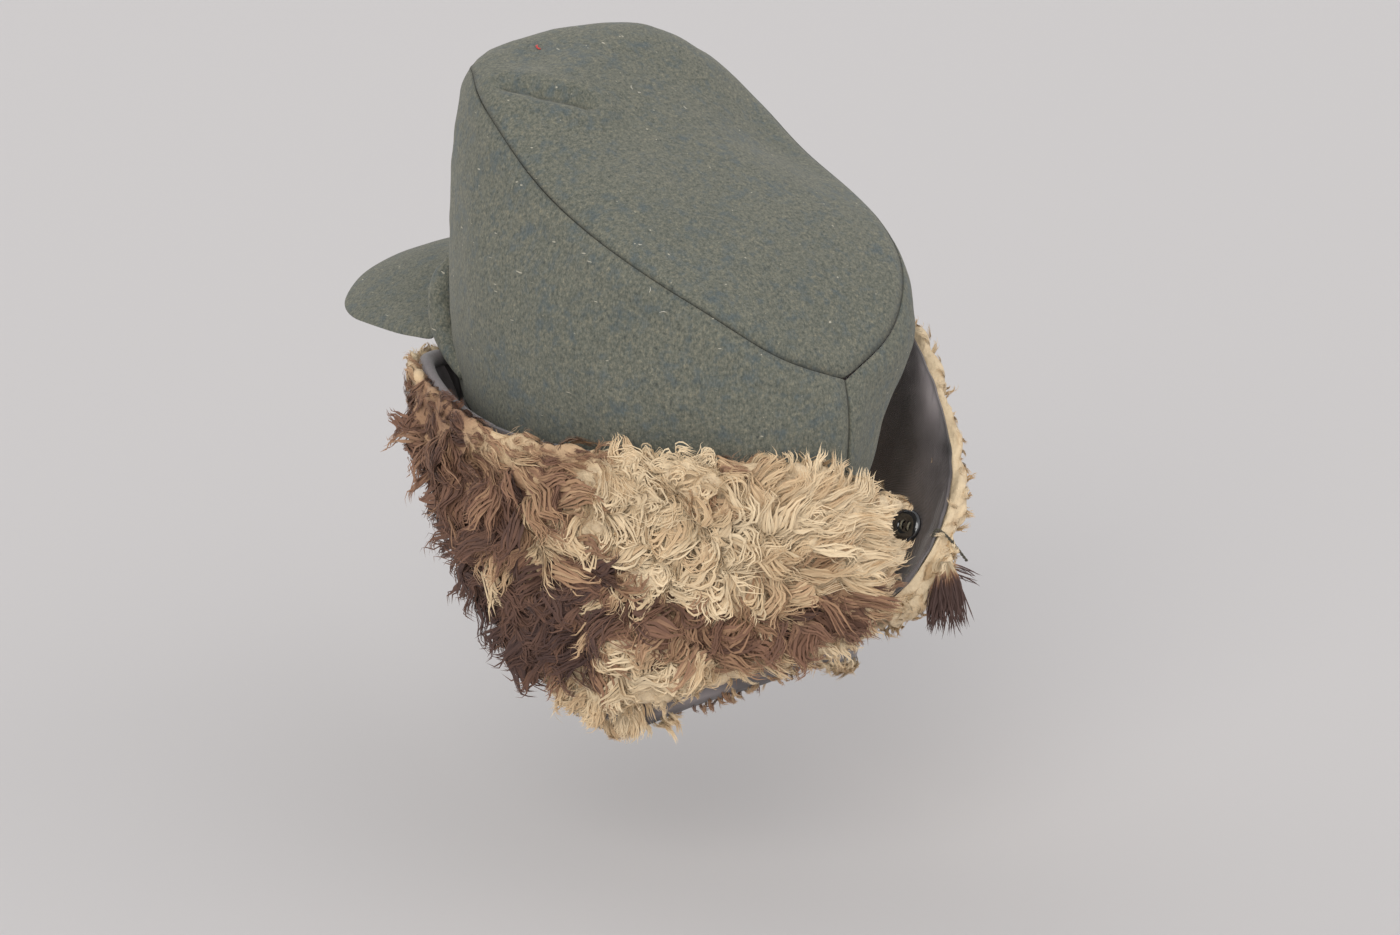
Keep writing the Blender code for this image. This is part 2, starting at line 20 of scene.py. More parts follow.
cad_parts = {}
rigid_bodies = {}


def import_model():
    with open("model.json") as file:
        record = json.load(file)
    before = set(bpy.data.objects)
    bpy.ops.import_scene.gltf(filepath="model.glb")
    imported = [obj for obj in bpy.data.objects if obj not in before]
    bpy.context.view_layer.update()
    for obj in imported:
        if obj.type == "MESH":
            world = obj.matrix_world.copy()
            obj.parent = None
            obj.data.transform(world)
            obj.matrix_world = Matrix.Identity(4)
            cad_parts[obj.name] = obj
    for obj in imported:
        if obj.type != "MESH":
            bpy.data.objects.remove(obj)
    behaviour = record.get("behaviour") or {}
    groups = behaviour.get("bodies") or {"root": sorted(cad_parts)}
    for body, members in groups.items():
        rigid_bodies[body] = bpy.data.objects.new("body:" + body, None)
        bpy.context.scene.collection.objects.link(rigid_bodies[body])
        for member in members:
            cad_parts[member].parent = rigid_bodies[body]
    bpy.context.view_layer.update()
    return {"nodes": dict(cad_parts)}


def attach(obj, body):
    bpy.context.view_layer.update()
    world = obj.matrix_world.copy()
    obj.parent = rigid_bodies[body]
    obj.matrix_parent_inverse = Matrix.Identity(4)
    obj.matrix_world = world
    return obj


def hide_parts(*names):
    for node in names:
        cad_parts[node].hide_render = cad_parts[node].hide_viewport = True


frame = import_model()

print("the cap's pieces:", ", ".join(sorted(frame["nodes"])))

# %% [markdown]
# The camera
#
# The cap is seen from behind its left side, a little above the brim, with a long lens. A camera is placed on
# a ball round the cap: two angles and a distance give its place, and it is then turned to look at its aim.

# %% Place the camera
CAMERA_ROUND = math.radians(140)
CAMERA_UP = math.radians(17.5)
CAMERA_DISTANCE = 1.30
CAMERA_AIM = Vector((-0.0077, 0.0131, -0.0168))

towards_camera = Vector((
    math.sin(CAMERA_ROUND) * math.cos(CAMERA_UP),
    -math.cos(CAMERA_ROUND) * math.cos(CAMERA_UP),
    math.sin(CAMERA_UP),
))
camera = bpy.data.objects.new("camera", bpy.data.cameras.new("camera"))
bpy.context.scene.collection.objects.link(camera)
camera.location = CAMERA_AIM + CAMERA_DISTANCE * towards_camera
camera.rotation_euler = (-towards_camera).to_track_quat("-Z", "Y").to_euler()
camera.data.sensor_width = 36
camera.data.lens = 74.9
camera.data.dof.use_dof = False
bpy.context.scene.camera = camera
print("camera at", [round(c, 3) for c in camera.location])

# %% [markdown]
# Floor and studio light
#
# A plain pale floor fills the frame. The light is that of a white tent: a pale sky from all sides, and three
# wide, soft suns. A sun lights the floor evenly however far it reaches, where a panel close by would leave a
# bright pool on it. The widest angle gives the softest shadow.

# %% Lay the floor and set the lights
FLOOR_HEIGHT = -0.20
FLOOR_SIZE = 24.0


def lay_floor():
    """A wide, plain, pale floor."""
    mesh = bpy.data.meshes.new("floor")
    half = FLOOR_SIZE / 2
    corners = [(-half, -half), (half, -half), (half, half), (-half, half)]
    mesh.from_pydata([(x, y, FLOOR_HEIGHT) for x, y in corners], [], [(0, 1, 2, 3)])
    floor = bpy.data.objects.new("floor", mesh)
    bpy.context.scene.collection.objects.link(floor)
    paint = bpy.data.materials.new("pale_floor")
    paint.use_nodes = True
    shader = paint.node_tree.nodes["Principled BSDF"]
    shader.inputs["Base Color"].default_value = (0.605, 0.582, 0.574, 1)
    shader.inputs["Roughness"].default_value = 0.9
    mesh.materials.append(paint)
    return floor


def shine(name, towards, power, softness, tint):
    """A soft light from far away. It shines from the direction given as round, up in degrees."""
    lamp = bpy.data.lights.new(name, "SUN")
    lamp.energy = power
    lamp.angle = math.radians(softness)
    lamp.color = tint
    light = bpy.data.objects.new(name, lamp)
    bpy.context.scene.collection.objects.link(light)
    turn, rise = (math.radians(a) for a in towards)
    source = Vector((math.sin(turn) * math.cos(rise), -math.cos(turn) * math.cos(rise), math.sin(rise)))
    light.rotation_euler = (-source).to_track_quat("-Z", "Y").to_euler()
    light.location = source * 3
    return light


lay_floor()
shine("key_light", (124, 31), 1.50, 45, (1.0, 0.985, 0.955))
shine("fill_light", (196, 26), 0.75, 70, (0.99, 0.99, 1.0))
shine("front_light", (20, 40), 0.40, 70, (1.0, 0.99, 0.98))

world = bpy.data.worlds.new("white_tent")
world.use_nodes = True
world.node_tree.nodes["Background"].inputs["Color"].default_value = (0.96, 0.97, 1.0, 1)
world.node_tree.nodes["Background"].inputs["Strength"].default_value = 0.60
bpy.context.scene.world = world
bpy.context.scene.view_settings.view_transform = "Standard"

# %% [markdown]
# A small workbench for finishes
#
# Every finish here is a Principled shader with a few noises and ramps in front of it. The same few nodes are
# needed each time, so a short helper class adds one node per call and passes its output on. All patterns read
# Object coordinates, or values that are stored on the mesh, so they stay on the cloth from every side.

# %% A helper that builds finishes
class Finish:
    """A material in the making. Each call adds one node and returns its output."""

    def __init__(self, name, **shader_values):
        self.material = bpy.data.materials.new(name)
        self.material.use_nodes = True
        self.tree = self.material.node_tree
        self.shader = self.tree.nodes["Principled BSDF"]
        for socket, value in shader_values.items():
            self.shader.inputs[socket.replace("_", " ")].default_value = value
        self.place = self.add("ShaderNodeTexCoord").outputs["Object"]

    def add(self, kind, inputs=(), **settings):
        node = self.tree.nodes.new(kind)
        for key, value in settings.items():
            setattr(node, key, value)
        for key, value in dict(inputs).items():
            if isinstance(value, bpy.types.NodeSocket):
                self.tree.links.new(value, node.inputs[key])
            else:
                node.inputs[key].default_value = value
        return node

    def noise(self, scale, detail=2.0, place=None, roughness=0.5):
        values = {"Vector": place or self.place, "Scale": scale, "Detail": detail, "Roughness": roughness}
        return self.add("ShaderNodeTexNoise", values).outputs["Fac"]

    def stretched(self, x, y, z, turn=(0, 0, 0)):
        values = {"Vector": self.place, "Scale": (x, y, z), "Rotation": turn}
        return self.add("ShaderNodeMapping", values).outputs["Vector"]

    def stored(self, name):
        return self.add("ShaderNodeAttribute", attribute_name=name).outputs["Fac"]

    def sum(self, how, a, b=0.0, c=0.0):
        return self.add("ShaderNodeMath", {0: a, 1: b, 2: c}, operation=how).outputs[0]

    def ramp(self, value, stops):
        node = self.add("ShaderNodeValToRGB", {"Fac": value})
        ramp = node.color_ramp
        while len(ramp.elements) < len(stops):
            ramp.elements.new(0.5)
        for element, (at, colour) in zip(ramp.elements, stops):
            element.position = at
            element.color = (colour,) * 3 + (1,) if isinstance(colour, (int, float)) else (*colour, 1)
        return node.outputs["Color"]

    def mix(self, share, a, b, how="MIX"):
        node = self.add("ShaderNodeMix", {"Factor": share}, data_type="RGBA", blend_type=how)
        for socket, value in (("A", a), ("B", b)):
            target = [s for s in node.inputs if s.name == socket and s.type == "RGBA"][0]
            if isinstance(value, bpy.types.NodeSocket):
                self.tree.links.new(value, target)
            else:
                target.default_value = (*value, 1)
        return [s for s in node.outputs if s.type == "RGBA"][0]

    def bump(self, height, distance, strength=1.0, under=None):
        values = {"Height": height, "Distance": distance, "Strength": strength}
        if under is not None:
            values["Normal"] = under
        return self.add("ShaderNodeBump", values).outputs["Normal"]

    def done(self, colour, normal=None, roughness=None):
        self.tree.links.new(colour, self.shader.inputs["Base Color"])
        if normal is not None:
            self.tree.links.new(normal, self.shader.inputs["Normal"])
        if roughness is not None:
            self.tree.links.new(roughness, self.shader.inputs["Roughness"])
        return self.material


# %% [markdown]
# Felted wool
#
# The crown and peak are field-grey wool, woven and then felted, so no weave shows. Close up it is a heather of
# green-grey, blue-grey and straw fibres, under a soft nap. Three sizes of noise make that: broad clouds of
# tone, the heather itself at about a millimetre, and rare pale lint. The nap is the shader's sheen.

# %% Mix the wool
def mix_wool():
    wool = Finish("field_grey_wool", Roughness=0.95, Sheen_Weight=0.15, Sheen_Roughness=0.55, Specular_IOR_Level=0.2)
    wool.shader.inputs["Sheen Tint"].default_value = (0.95, 0.93, 0.84, 1)
    cloud = wool.noise(26, 4)
    heather = wool.noise(620, 3, roughness=0.7)
    fibre = wool.noise(1500, 2, wool.stretched(1, 1, 0.45))
    ground = wool.ramp(heather, (
        (0.26, (0.056, 0.062, 0.058)),
        (0.42, (0.120, 0.125, 0.101)),
        (0.55, (0.162, 0.162, 0.129)),
        (0.68, (0.220, 0.205, 0.150)),
        (0.80, (0.315, 0.280, 0.200)),
    ))
    blue = wool.ramp(wool.sum("MULTIPLY_ADD", wool.noise(240, 3), 0.6, wool.sum("MULTIPLY", wool.noise(70, 3), 0.4)), ((0.50, 0.0), (0.66, 0.70)))
    ground = wool.mix(blue, ground, (0.085, 0.110, 0.120))
    ground = wool.mix(wool.ramp(cloud, ((0.30, 0.16), (0.72, 0.0))), ground, (0.082, 0.094, 0.078))
    ground = wool.mix(1.0, ground, wool.ramp(fibre, ((0.25, 0.72), (0.75, 1.25))), "MULTIPLY")
    lint = wool.ramp(wool.noise(420, 1, wool.stretched(1, 0.35, 1.6)), ((0.775, 0.0), (0.80, 0.8)))
    ground = wool.mix(lint, ground, (0.52, 0.48, 0.38))
    # The seams' own dark line, and painted shade in the pressed dimple of the top panel, darken the wool here.
    seam = wool.sum("POWER", wool.sum("MAXIMUM", wool.stored("seam"), wool.stored("crease")), 5.0)
    ground = wool.mix(seam, ground, (0.010, 0.010, 0.008))
    nap = wool.bump(wool.sum("ADD", heather, wool.sum("MULTIPLY", fibre, 0.7)), 0.0006, 0.55)
    return wool.done(ground, wool.bump(cloud, 0.004, 0.30, nap))


field_wool = mix_wool()
print("finish:", field_wool.name)

# %% [markdown]
# Grey lining
#
# The flaps and the neck curtain are lined with a dark grey twill with a dull gloss. Twill shows as fine
# slanted ribs, so a wave with a little distortion gives the ribs, and a cloudy tone the wear.

# %% Mix the lining
def mix_lining():
    lining = Finish("grey_twill_lining", Roughness=0.44, Sheen_Weight=0.30, Sheen_Roughness=0.35)
    slant = lining.stretched(1, 1, 1, (0.5, 0.4, 0.6))
    ribs = lining.add("ShaderNodeTexWave", {"Vector": slant, "Scale": 820, "Distortion": 0.6, "Detail": 1.0}).outputs["Fac"]
    cloud = lining.noise(38, 4)
    tone = lining.ramp(cloud, ((0.28, (0.088, 0.075, 0.071)), (0.72, (0.168, 0.145, 0.140))))
    tone = lining.mix(1.0, tone, lining.ramp(ribs, ((0.1, 0.93), (0.9, 1.05))), "MULTIPLY")
    # Painted light: the lining is lighter near its edges, by the stored edge value.
    tone = lining.mix(lining.sum("MULTIPLY", lining.stored("edge"), 0.40), tone, (0.30, 0.27, 0.28))
    # Painted shade and light: the lining is darker in the valleys of its folds and lighter on their ridges.
    tone = lining.mix(1.0, tone, lining.sum("MULTIPLY_ADD", lining.stored("fold"), 0.55, 1.0), "MULTIPLY")
    # The hem line is dark. The temple tucks are stored as hem all over, so this also paints them dark as the shade
    # inside the pocket.
    tone = lining.mix(lining.stored("hem"), tone, (0.030, 0.025, 0.024))
    folds = lining.bump(lining.noise(95, 3), 0.0016, 0.5)
    return lining.done(tone, lining.bump(ribs, 0.0003, 0.45, folds), lining.ramp(cloud, ((0.3, 0.44), (0.8, 0.62))))


twill = mix_lining()
print("finish:", twill.name)

# %% [markdown]
# Curly fleece
#
# A sheep's fleece is thousands of fine hairs that hang together in soft, wavy locks. Each lock here is a few
# broad ribbons that overlap, and its finish draws the single hairs as lines along them: the noise is stretched
# along the ribbon by the values that each ribbon carries, from edge to edge and from root to tip. Light passes
# through wool, which makes it look soft. To get that, the finish bends each ribbon's normal most of the way to
# the hide's own, which every lock keeps as the value "skin". The hide is piebald, so how brown a lock is comes from
# the place where it grows.

# %% Mix the fleece
def mix_fleece(name, matted=False, dark_mottling=0.35):
    fleece = Finish(name, Roughness=0.6, Sheen_Weight=0.05, Sheen_Roughness=0.5, Specular_IOR_Level=0.22)
    brown = fleece.stored("brown")
    strand = fleece.stored("strand")
    lock = fleece.stored("lock")
    tip = fleece.stored("tip")
    patchy = fleece.sum("MULTIPLY_ADD", fleece.sum("SUBTRACT", lock, 0.5), 0.30, brown)
    patchy = fleece.sum("MULTIPLY_ADD", fleece.sum("SUBTRACT", strand, 0.5), 0.20, patchy)
    hair = fleece.ramp(patchy, (
        (0.00, (0.830, 0.655, 0.430)),
        (0.20, (0.720, 0.525, 0.315)),
        (0.42, (0.440, 0.265, 0.152)),
        (0.62, (0.255, 0.134, 0.084)),
        (0.82, (0.155, 0.082, 0.057)),
        (1.00, (0.085, 0.048, 0.040)),
    ))
    if matted:
        # The hide under the locks is mottled with darker brown in random patches.
        root = fleece.mix(fleece.ramp(fleece.noise(260, 4), ((0.3, 0.0), (0.7, dark_mottling))), hair, (0.20, 0.13, 0.09))
        lumps = fleece.bump(fleece.noise(420, 4), 0.003, 0.5)
        return fleece.done(root, lumps)
    line = fleece.add("ShaderNodeCombineXYZ", {
        "X": fleece.sum("MULTIPLY", fleece.stored("across"), 2.6),
        "Y": fleece.sum("MULTIPLY", tip, 1.3),
        "Z": fleece.sum("MULTIPLY_ADD", strand, 90.0, fleece.sum("MULTIPLY", lock, 410.0)),
    }).outputs[0]
    hairs = fleece.noise(1.6, 3, line, 0.6)
    hair = fleece.mix(1.0, hair, fleece.ramp(hairs, ((0.30, 0.72), (0.52, 1.0), (0.74, 1.20))), "MULTIPLY")
    # Darker towards the roots: partly the hair's own darker roots, partly painted shade deep in the fleece.
    hair = fleece.mix(1.0, hair, fleece.ramp(tip, ((0.0, 0.50), (0.35, 0.92), (1.0, 1.09))), "MULTIPLY")
    skin = fleece.add("ShaderNodeAttribute", attribute_name="skin").outputs["Vector"]
    own = fleece.add("ShaderNodeNewGeometry").outputs["Normal"]
    facing = fleece.sum("SIGN", fleece.add("ShaderNodeVectorMath", {0: own, 1: skin}, operation="DOT_PRODUCT").outputs["Value"])
    turned = fleece.add("ShaderNodeVectorMath", {0: skin, "Scale": fleece.sum("MULTIPLY", facing, SOFTNESS)}, operation="SCALE").outputs[0]
    plain = fleece.add("ShaderNodeVectorMath", {0: own, "Scale": 1 - SOFTNESS}, operation="SCALE").outputs[0]
    soft = fleece.add("ShaderNodeVectorMath", {0: turned, 1: plain}, operation="ADD").outputs[0]
    soft = fleece.add("ShaderNodeVectorMath", {0: soft}, operation="NORMALIZE").outputs[0]
    return fleece.done(hair, fleece.bump(hairs, 0.0002, 0.4, soft))


SOFTNESS = 0.50
curly_fleece = mix_fleece("curly_fleece")
matted_wool = mix_fleece("matted_underwool", matted=True)
clipped_wool = mix_fleece("clipped_underwool", matted=True, dark_mottling=0.12)
print("finishes:", curly_fleece.name, matted_wool.name, clipped_wool.name)

# %% [markdown]
# Copies to work on
#
# The model's pieces stay as they are, so each one is copied, its loose triangles are joined, and the copy is
# smoothed with Subdivision Surface. A cloth edge has to stay where it is, and subdivision would pull it in, so
# every sharp edge is creased first. The result is baked to a plain mesh.

# %% Helpers that copy and smooth a piece
def link(name, mesh):
    piece = bpy.data.objects.new(name, mesh)
    bpy.context.scene.collection.objects.link(piece)
    return piece


def settle(piece):
    """Bakes a piece's modifiers into its mesh."""
    bpy.context.view_layer.update()
    seen = piece.evaluated_get(bpy.context.evaluated_depsgraph_get())
    mesh = bpy.data.meshes.new_from_object(seen)
    piece.modifiers.clear()
    old, piece.data = piece.data, mesh
    bpy.data.meshes.remove(old)
    mesh.name = piece.name
    return piece


def smoothed(node, name, levels, sharp=50):
    """A joined, creased and subdivided copy of one of the model's pieces."""
    work = bmesh.new()
    work.from_mesh(frame["nodes"][node].data)
    bmesh.ops.remove_doubles(work, verts=work.verts[:], dist=2e-5)
    bmesh.ops.join_triangles(
        work, faces=work.faces[:], angle_face_threshold=math.radians(40), angle_shape_threshold=math.radians(50)
    )
    crease = work.edges.layers.float.new("crease_edge")
    for edge in work.edges:
        if len(edge.link_faces) == 2 and edge.calc_face_angle() > math.radians(sharp):
            edge[crease] = 1.0
    mesh = bpy.data.meshes.new(name)
    work.to_mesh(mesh)
    work.free()
    mesh.materials.clear()
    piece = link(name, mesh)
    smooth = piece.modifiers.new("smooth", "SUBSURF")
    smooth.levels = smooth.render_levels = levels
    settle(piece)
    piece.data.shade_smooth()
    print(name, "has", len(piece.data.polygons), "faces")
    return piece


def points_of(piece):
    places = np.empty(len(piece.data.vertices) * 3)
    piece.data.vertices.foreach_get("co", places)
    return places.reshape(-1, 3)


def normals_of(piece):
    ways = np.empty(len(piece.data.vertices) * 3)
    piece.data.vertices.foreach_get("normal", ways)
    return ways.reshape(-1, 3)


def move_points(piece, places):
    piece.data.vertices.foreach_set("co", places.ravel())
    piece.data.update()


def store(piece, name, values, kind="FLOAT"):
    """Keeps one value per point on a mesh, for its finish or for the fleece to read."""
    layer = piece.data.attributes.get(name) or piece.data.attributes.new(name, kind, "POINT")
    layer.data.foreach_set("vector" if kind == "FLOAT_VECTOR" else "value", np.asarray(values, np.float32).ravel())


def surface_of(*pieces):
    """A search tree over some meshes, which finds the nearest point on them."""
    work = bmesh.new()
    for piece in pieces:
        work.from_mesh(piece.data)
    tree = BVHTree.FromBMesh(work)
    work.free()
    return tree


def distance_to(tree, places, reach=0.05):
    found = [tree.find_nearest(Vector(p), reach)[3] for p in places]
    return np.array([reach if d is None else d for d in found])


def ripple(places, size, seed):
    """A soft random lift, from -1 to 1, with hills about `size` metres across."""
    chance = np.random.default_rng(seed)
    total = np.zeros(len(places))
    for _ in range(9):
        way = chance.normal(size=3)
        way *= 2 * math.pi / size / np.linalg.norm(way) * chance.uniform(0.6, 1.3)
        total += np.sin(places @ way + chance.uniform(0, 2 * math.pi))
    return total / 4.5


# %% [markdown]
# The wool panels
#
# Two long side panels meet at the front and at the nape, and the top panel is let in between them. The
# seams are turned to the inside, so outside they are only a thin dark line in a shallow valley, with the cloth a
# little fuller beside it. A panel ends at its seam, so the nearest point of its neighbours is the seam: the
# distance to them gives the depth of the valley at each point, and is stored for the dark line.

# %% Sew the crown
VALLEY_DEPTH = 0.0010
VALLEY_WIDTH = 0.0024
FULLNESS = 0.0007
CROWN_CENTRE = np.array([0, 0.01, 0.04])


def sew(panel, neighbours, seed):
    """Presses a seam valley into a panel where it meets its neighbours, and rumples its cloth a little."""
    places, ways = points_of(panel), normals_of(panel)
    away = distance_to(surface_of(*neighbours), places, 0.02)
    valley = np.exp(-((away / VALLEY_WIDTH) ** 2))
    fuller = np.exp(-(((away - 0.008) / 0.004) ** 2))
    rumple = 0.0006 * ripple(places, 0.045, seed) + 0.0002 * ripple(places, 0.014, seed + 1)
    inner = facing_inwards(places, ways)
    lift = (FULLNESS * fuller + rumple * np.clip(away / 0.01, 0, 1)) * (1 - 2 * inner)
    outwards = places - CROWN_CENTRE
    outwards /= np.linalg.norm(outwards, axis=1)[:, None]
    store(panel, "seam", np.clip(1 - away / 0.0034, 0, 1) * (1 - inner))
    move_points(panel, draw_in(places + ways * lift[:, None] - outwards * (VALLEY_DEPTH * valley)[:, None]))


def draw_in(places):
    """Draws the crown in above the right flap, where the real one is slack and the gap behind it is deep."""
    turn = np.degrees(np.arctan2(places[:, 0] / 0.082, -places[:, 1] / 0.103))
    round_it = np.clip(1 - np.abs((turn + SLACK_TURN + 180) % 360 - 180) / SLACK_WIDE, 0, 1)
    above = np.clip((0.060 - places[:, 2]) / 0.045, 0, 1)
    below = np.clip((places[:, 2] + 0.060) / 0.035, 0, 1)
    away = np.hypot(places[:, 0], places[:, 1])
    near = np.clip((0.128 - away) / 0.004, 0, 1)
    share = np.ones(len(places))
    for part in (round_it, above, below):
        share *= part * part * (3 - 2 * part)
    inwards = places * np.array([-1, -1, 0]) / (away[:, None] + 1e-9)
    return places + inwards * (SLACK * share * near)[:, None]


SLACK = 0.017
SLACK_TURN = 130
SLACK_WIDE = 75


def facing_inwards(places, ways):
    """1 where a point faces the head, 0 where it faces out."""
    out = places - CROWN_CENTRE
    out /= np.linalg.norm(out, axis=1)[:, None]
    return (np.einsum("ij,ij->i", out, ways) < -0.45).astype(float)


def line_inside(piece, outer, inner):
    """Gives a shell one finish outside and another where it faces the head."""
    piece.data.materials.append(outer)
    piece.data.materials.append(inner)
    centres = np.array([f.center for f in piece.data.polygons])
    ways = np.array([f.normal for f in piece.data.polygons])
    piece.data.polygons.foreach_set("material_index", facing_inwards(centres, ways).astype(np.int32))
    piece.data.update()


CREASE = np.array([[0.0576, -0.0388, 0.1550], [0.0484, -0.0228, 0.1527], [0.0346, -0.0115, 0.1484]])
CREASE_WAY = np.array([0.22, 0.43, 0.87])
HEAPS = (
    ((-0.040, -0.040, 0.161), 0.024, (0, 0, 0.0034)), ((-0.005, -0.054, 0.168), 0.034, (0, 0, 0.0024)),
    ((0.046, -0.078, 0.138), 0.032, (0.0023, -0.0019, 0)), ((0.058, -0.062, 0.158), 0.016, (-0.0012, 0.0010, 0.0020)),
)


def heap_up(piece):
    """Pushes the crown out where the real one stands a little prouder."""
    places = points_of(piece)
    for spot, reach, lift in HEAPS:
        places += np.array(lift) * np.exp(-((np.linalg.norm(places - spot, axis=1) / reach) ** 2))[:, None]
    move_points(piece, places)


def press_crease(piece):
    """Presses a short dimple into the top panel, with the cloth a little fuller on both sides. Returns painted shade
    for the dimple.
    """
    places = points_of(piece)
    line = np.concatenate([np.linspace(a, b, 12) for a, b in zip(CREASE, CREASE[1:])])
    away = np.linalg.norm(places[:, None] - line[None], axis=2).min(1)
    lift = 0.0014 * np.exp(-(((away - 0.0085) / 0.0055) ** 2)) - 0.0034 * np.exp(-((away / 0.0036) ** 2))
    move_points(piece, places + CREASE_WAY * lift[:, None])
    return 0.88 * np.exp(-((away / 0.0030) ** 2))


crown_top = smoothed("crown_top", "wool_top_panel", 2)
side_left = smoothed("side_left", "wool_side_panel_left", 3)
side_right = smoothed("side_right", "wool_side_panel_right", 3)
for panel in (crown_top, side_left, side_right):
    heap_up(panel)
crease_shade = press_crease(crown_top)
for panel, seed in ((crown_top, 3), (side_left, 5), (side_right, 7)):
    sew(panel, [p for p in (crown_top, side_left, side_right) if p is not panel], seed)
# The crease value is painted shade in the dimple.
store(crown_top, "crease", crease_shade)
for panel, node in ((crown_top, "crown_top"), (side_left, "side_left"), (side_right, "side_right")):
    line_inside(panel, field_wool, twill)
    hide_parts(node)
    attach(panel, "root")

# %% [markdown]
# The peak
#
# The peak is a stiff tongue of card covered with the same wool on both faces. Its copy only needs a rounded
# edge, so its creases are left out and the thin rim rounds itself.

# %% Make the peak
PEAK_ARCH = 0.0036
peak = smoothed("peak", "wool_peak", 2, sharp=120)
peak_places = points_of(peak)
peak_places += normals_of(peak) * (0.0004 * ripple(peak_places, 0.03, 11))[:, None]
peak_places[:, 2] += PEAK_ARCH * np.clip(1 - (peak_places[:, 0] / 0.072) ** 2, 0, 1)
move_points(peak, peak_places)
peak.data.materials.append(field_wool)
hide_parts("peak")
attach(peak, "root")

# %% [markdown]
# The linings
#
# The lining of each flap shows where the flap stands away from the crown. It is sewn to the fleece along a hem,
# which draws it into small puckers. Close to an edge the cloth is therefore lifted in short ridges that
# run across the hem, and the hem itself is dark.

# %% Line the flaps and the curtain
def line_flap(node, name, seed):
    piece = smoothed(node, name, 2)
    places, ways = points_of(piece), normals_of(piece)
    borders = np.array([v.co for v in edge_points(piece)])
    tree = surface_points(borders)
    away = np.array([tree.find(Vector(p))[2] for p in places])
    pucker = np.exp(-((away / 0.012) ** 2))
    wave = ripple(places, 0.011, seed)
    inwards = places * np.array([-1, -1, 0])
    inwards /= np.linalg.norm(inwards, axis=1)[:, None]
    slack = ripple(places * np.array([1, 1, 0.30]), 0.030, seed + 1)
    folds = 0.0013 * (1 + slack) * np.clip(away / 0.014, 0, 1)
    draws = 0.00045 * pucker * (1 + wave)
    places = places + inwards * (folds + draws)[:, None]
    move_points(piece, lift_hem(draw_in(places)) if node == "curtain_lining" else places)
    store(piece, "hem", np.clip(1 - away / 0.0012, 0, 1) * 0.7)
    # The fold value follows the folds' ripple and paints shade in their valleys and light on their ridges.
    store(piece, "fold", slack + 0.5 * pucker * wave)
    # The edge value paints light on the cloth near its edges.
    store(piece, "edge", np.exp(-((np.maximum(away - 0.002, 0) / 0.0085) ** 2)))
    piece.data.materials.append(twill)
    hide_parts(node)
    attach(piece, "root")
    return piece


def lift_hem(places):
    """Lifts the curtain's hem on the left, where the real one is hitched up a little."""
    turn = np.degrees(np.arctan2(places[:, 0] / 0.082, -places[:, 1] / 0.103)) % 360
    round_it = np.clip(1 - np.abs(turn - 125) / 75, 0, 1)
    low = np.clip((-0.050 - places[:, 2]) / 0.035, 0, 1)
    share = round_it * (2 - round_it) * low * low * (3 - 2 * low)
    return places + np.array([0, 0, HEM_LIFT]) * share[:, None]


HEM_LIFT = 0.0028


def edge_points(piece):
    """The points on a shell's sharp edges."""
    work = bmesh.new()
    work.from_mesh(piece.data)
    sharp = {v.index for e in work.edges if len(e.link_faces) == 2 and e.calc_face_angle() > 0.7 for v in e.verts}
    work.free()
    return [piece.data.vertices[i] for i in sorted(sharp)]


def surface_points(places):
    from mathutils.kdtree import KDTree

    tree = KDTree(len(places))
    for i, place in enumerate(places):
        tree.insert(place, i)
    tree.balance()
    return tree


left_lining = line_flap("left_flap_lining", "left_flap_twill", 21)
right_lining = line_flap("right_flap_lining", "right_flap_twill", 23)
curtain_lining = line_flap("curtain_lining", "curtain_twill", 25)

# %% [markdown]
# The hides
#
# The fleece of a flap grows on a hide. The hide here is a copy of the model's fleece body with its outer
# side drawn in, so that the locks that grow on it end where the model's body ends. Each point of the hide
# stores what the locks there need: which way they lie, how tightly they curl, how brown they are, and how long.
# Places on the cap are given as the angle round the head, from the face, and the height in centimetres.

# %% Helpers that chart a hide
HALF_HEAD_WIDTH = 0.082
LOCK_LENGTH = 0.020
HALF_HEAD_LENGTH = 0.103


def angle_round(places):
    """The angle round the head in degrees: 0 at the face, 90 at the wearer's left ear, 180 at the nape."""
    turn = np.degrees(np.arctan2(places[:, 0] / HALF_HEAD_WIDTH, -places[:, 1] / HALF_HEAD_LENGTH))
    return turn


def patches(turn, height, table, ground):
    """Adds soft-edged patches (angle, height, half width, half height, value) to an even ground."""
    value = np.full(len(turn), float(ground))
    for angle, up, wide, tall, amount in table:
        away = np.sqrt(((turn - angle) / wide) ** 2 + ((height - up) / tall) ** 2)
        share = np.clip((1.25 - away) / 0.5, 0, 1)
        share = share * share * (3 - 2 * share)
        value = value * (1 - share) + amount * share
    return value


def lie(turn, height, table):
    """Blends the way the hair lies from a few places (angle, height, degrees): 0 is backwards, 90 is up."""
    across, up = np.zeros(len(turn)), np.zeros(len(turn))
    for angle, at, way in table:
        near = 1 / (((turn - angle) / 9) ** 2 + ((height - at) / 1.5) ** 2 + 0.3) ** 2
        across += near * math.cos(math.radians(way))
        up += near * math.sin(math.radians(way))
    return np.degrees(np.arctan2(up, across))


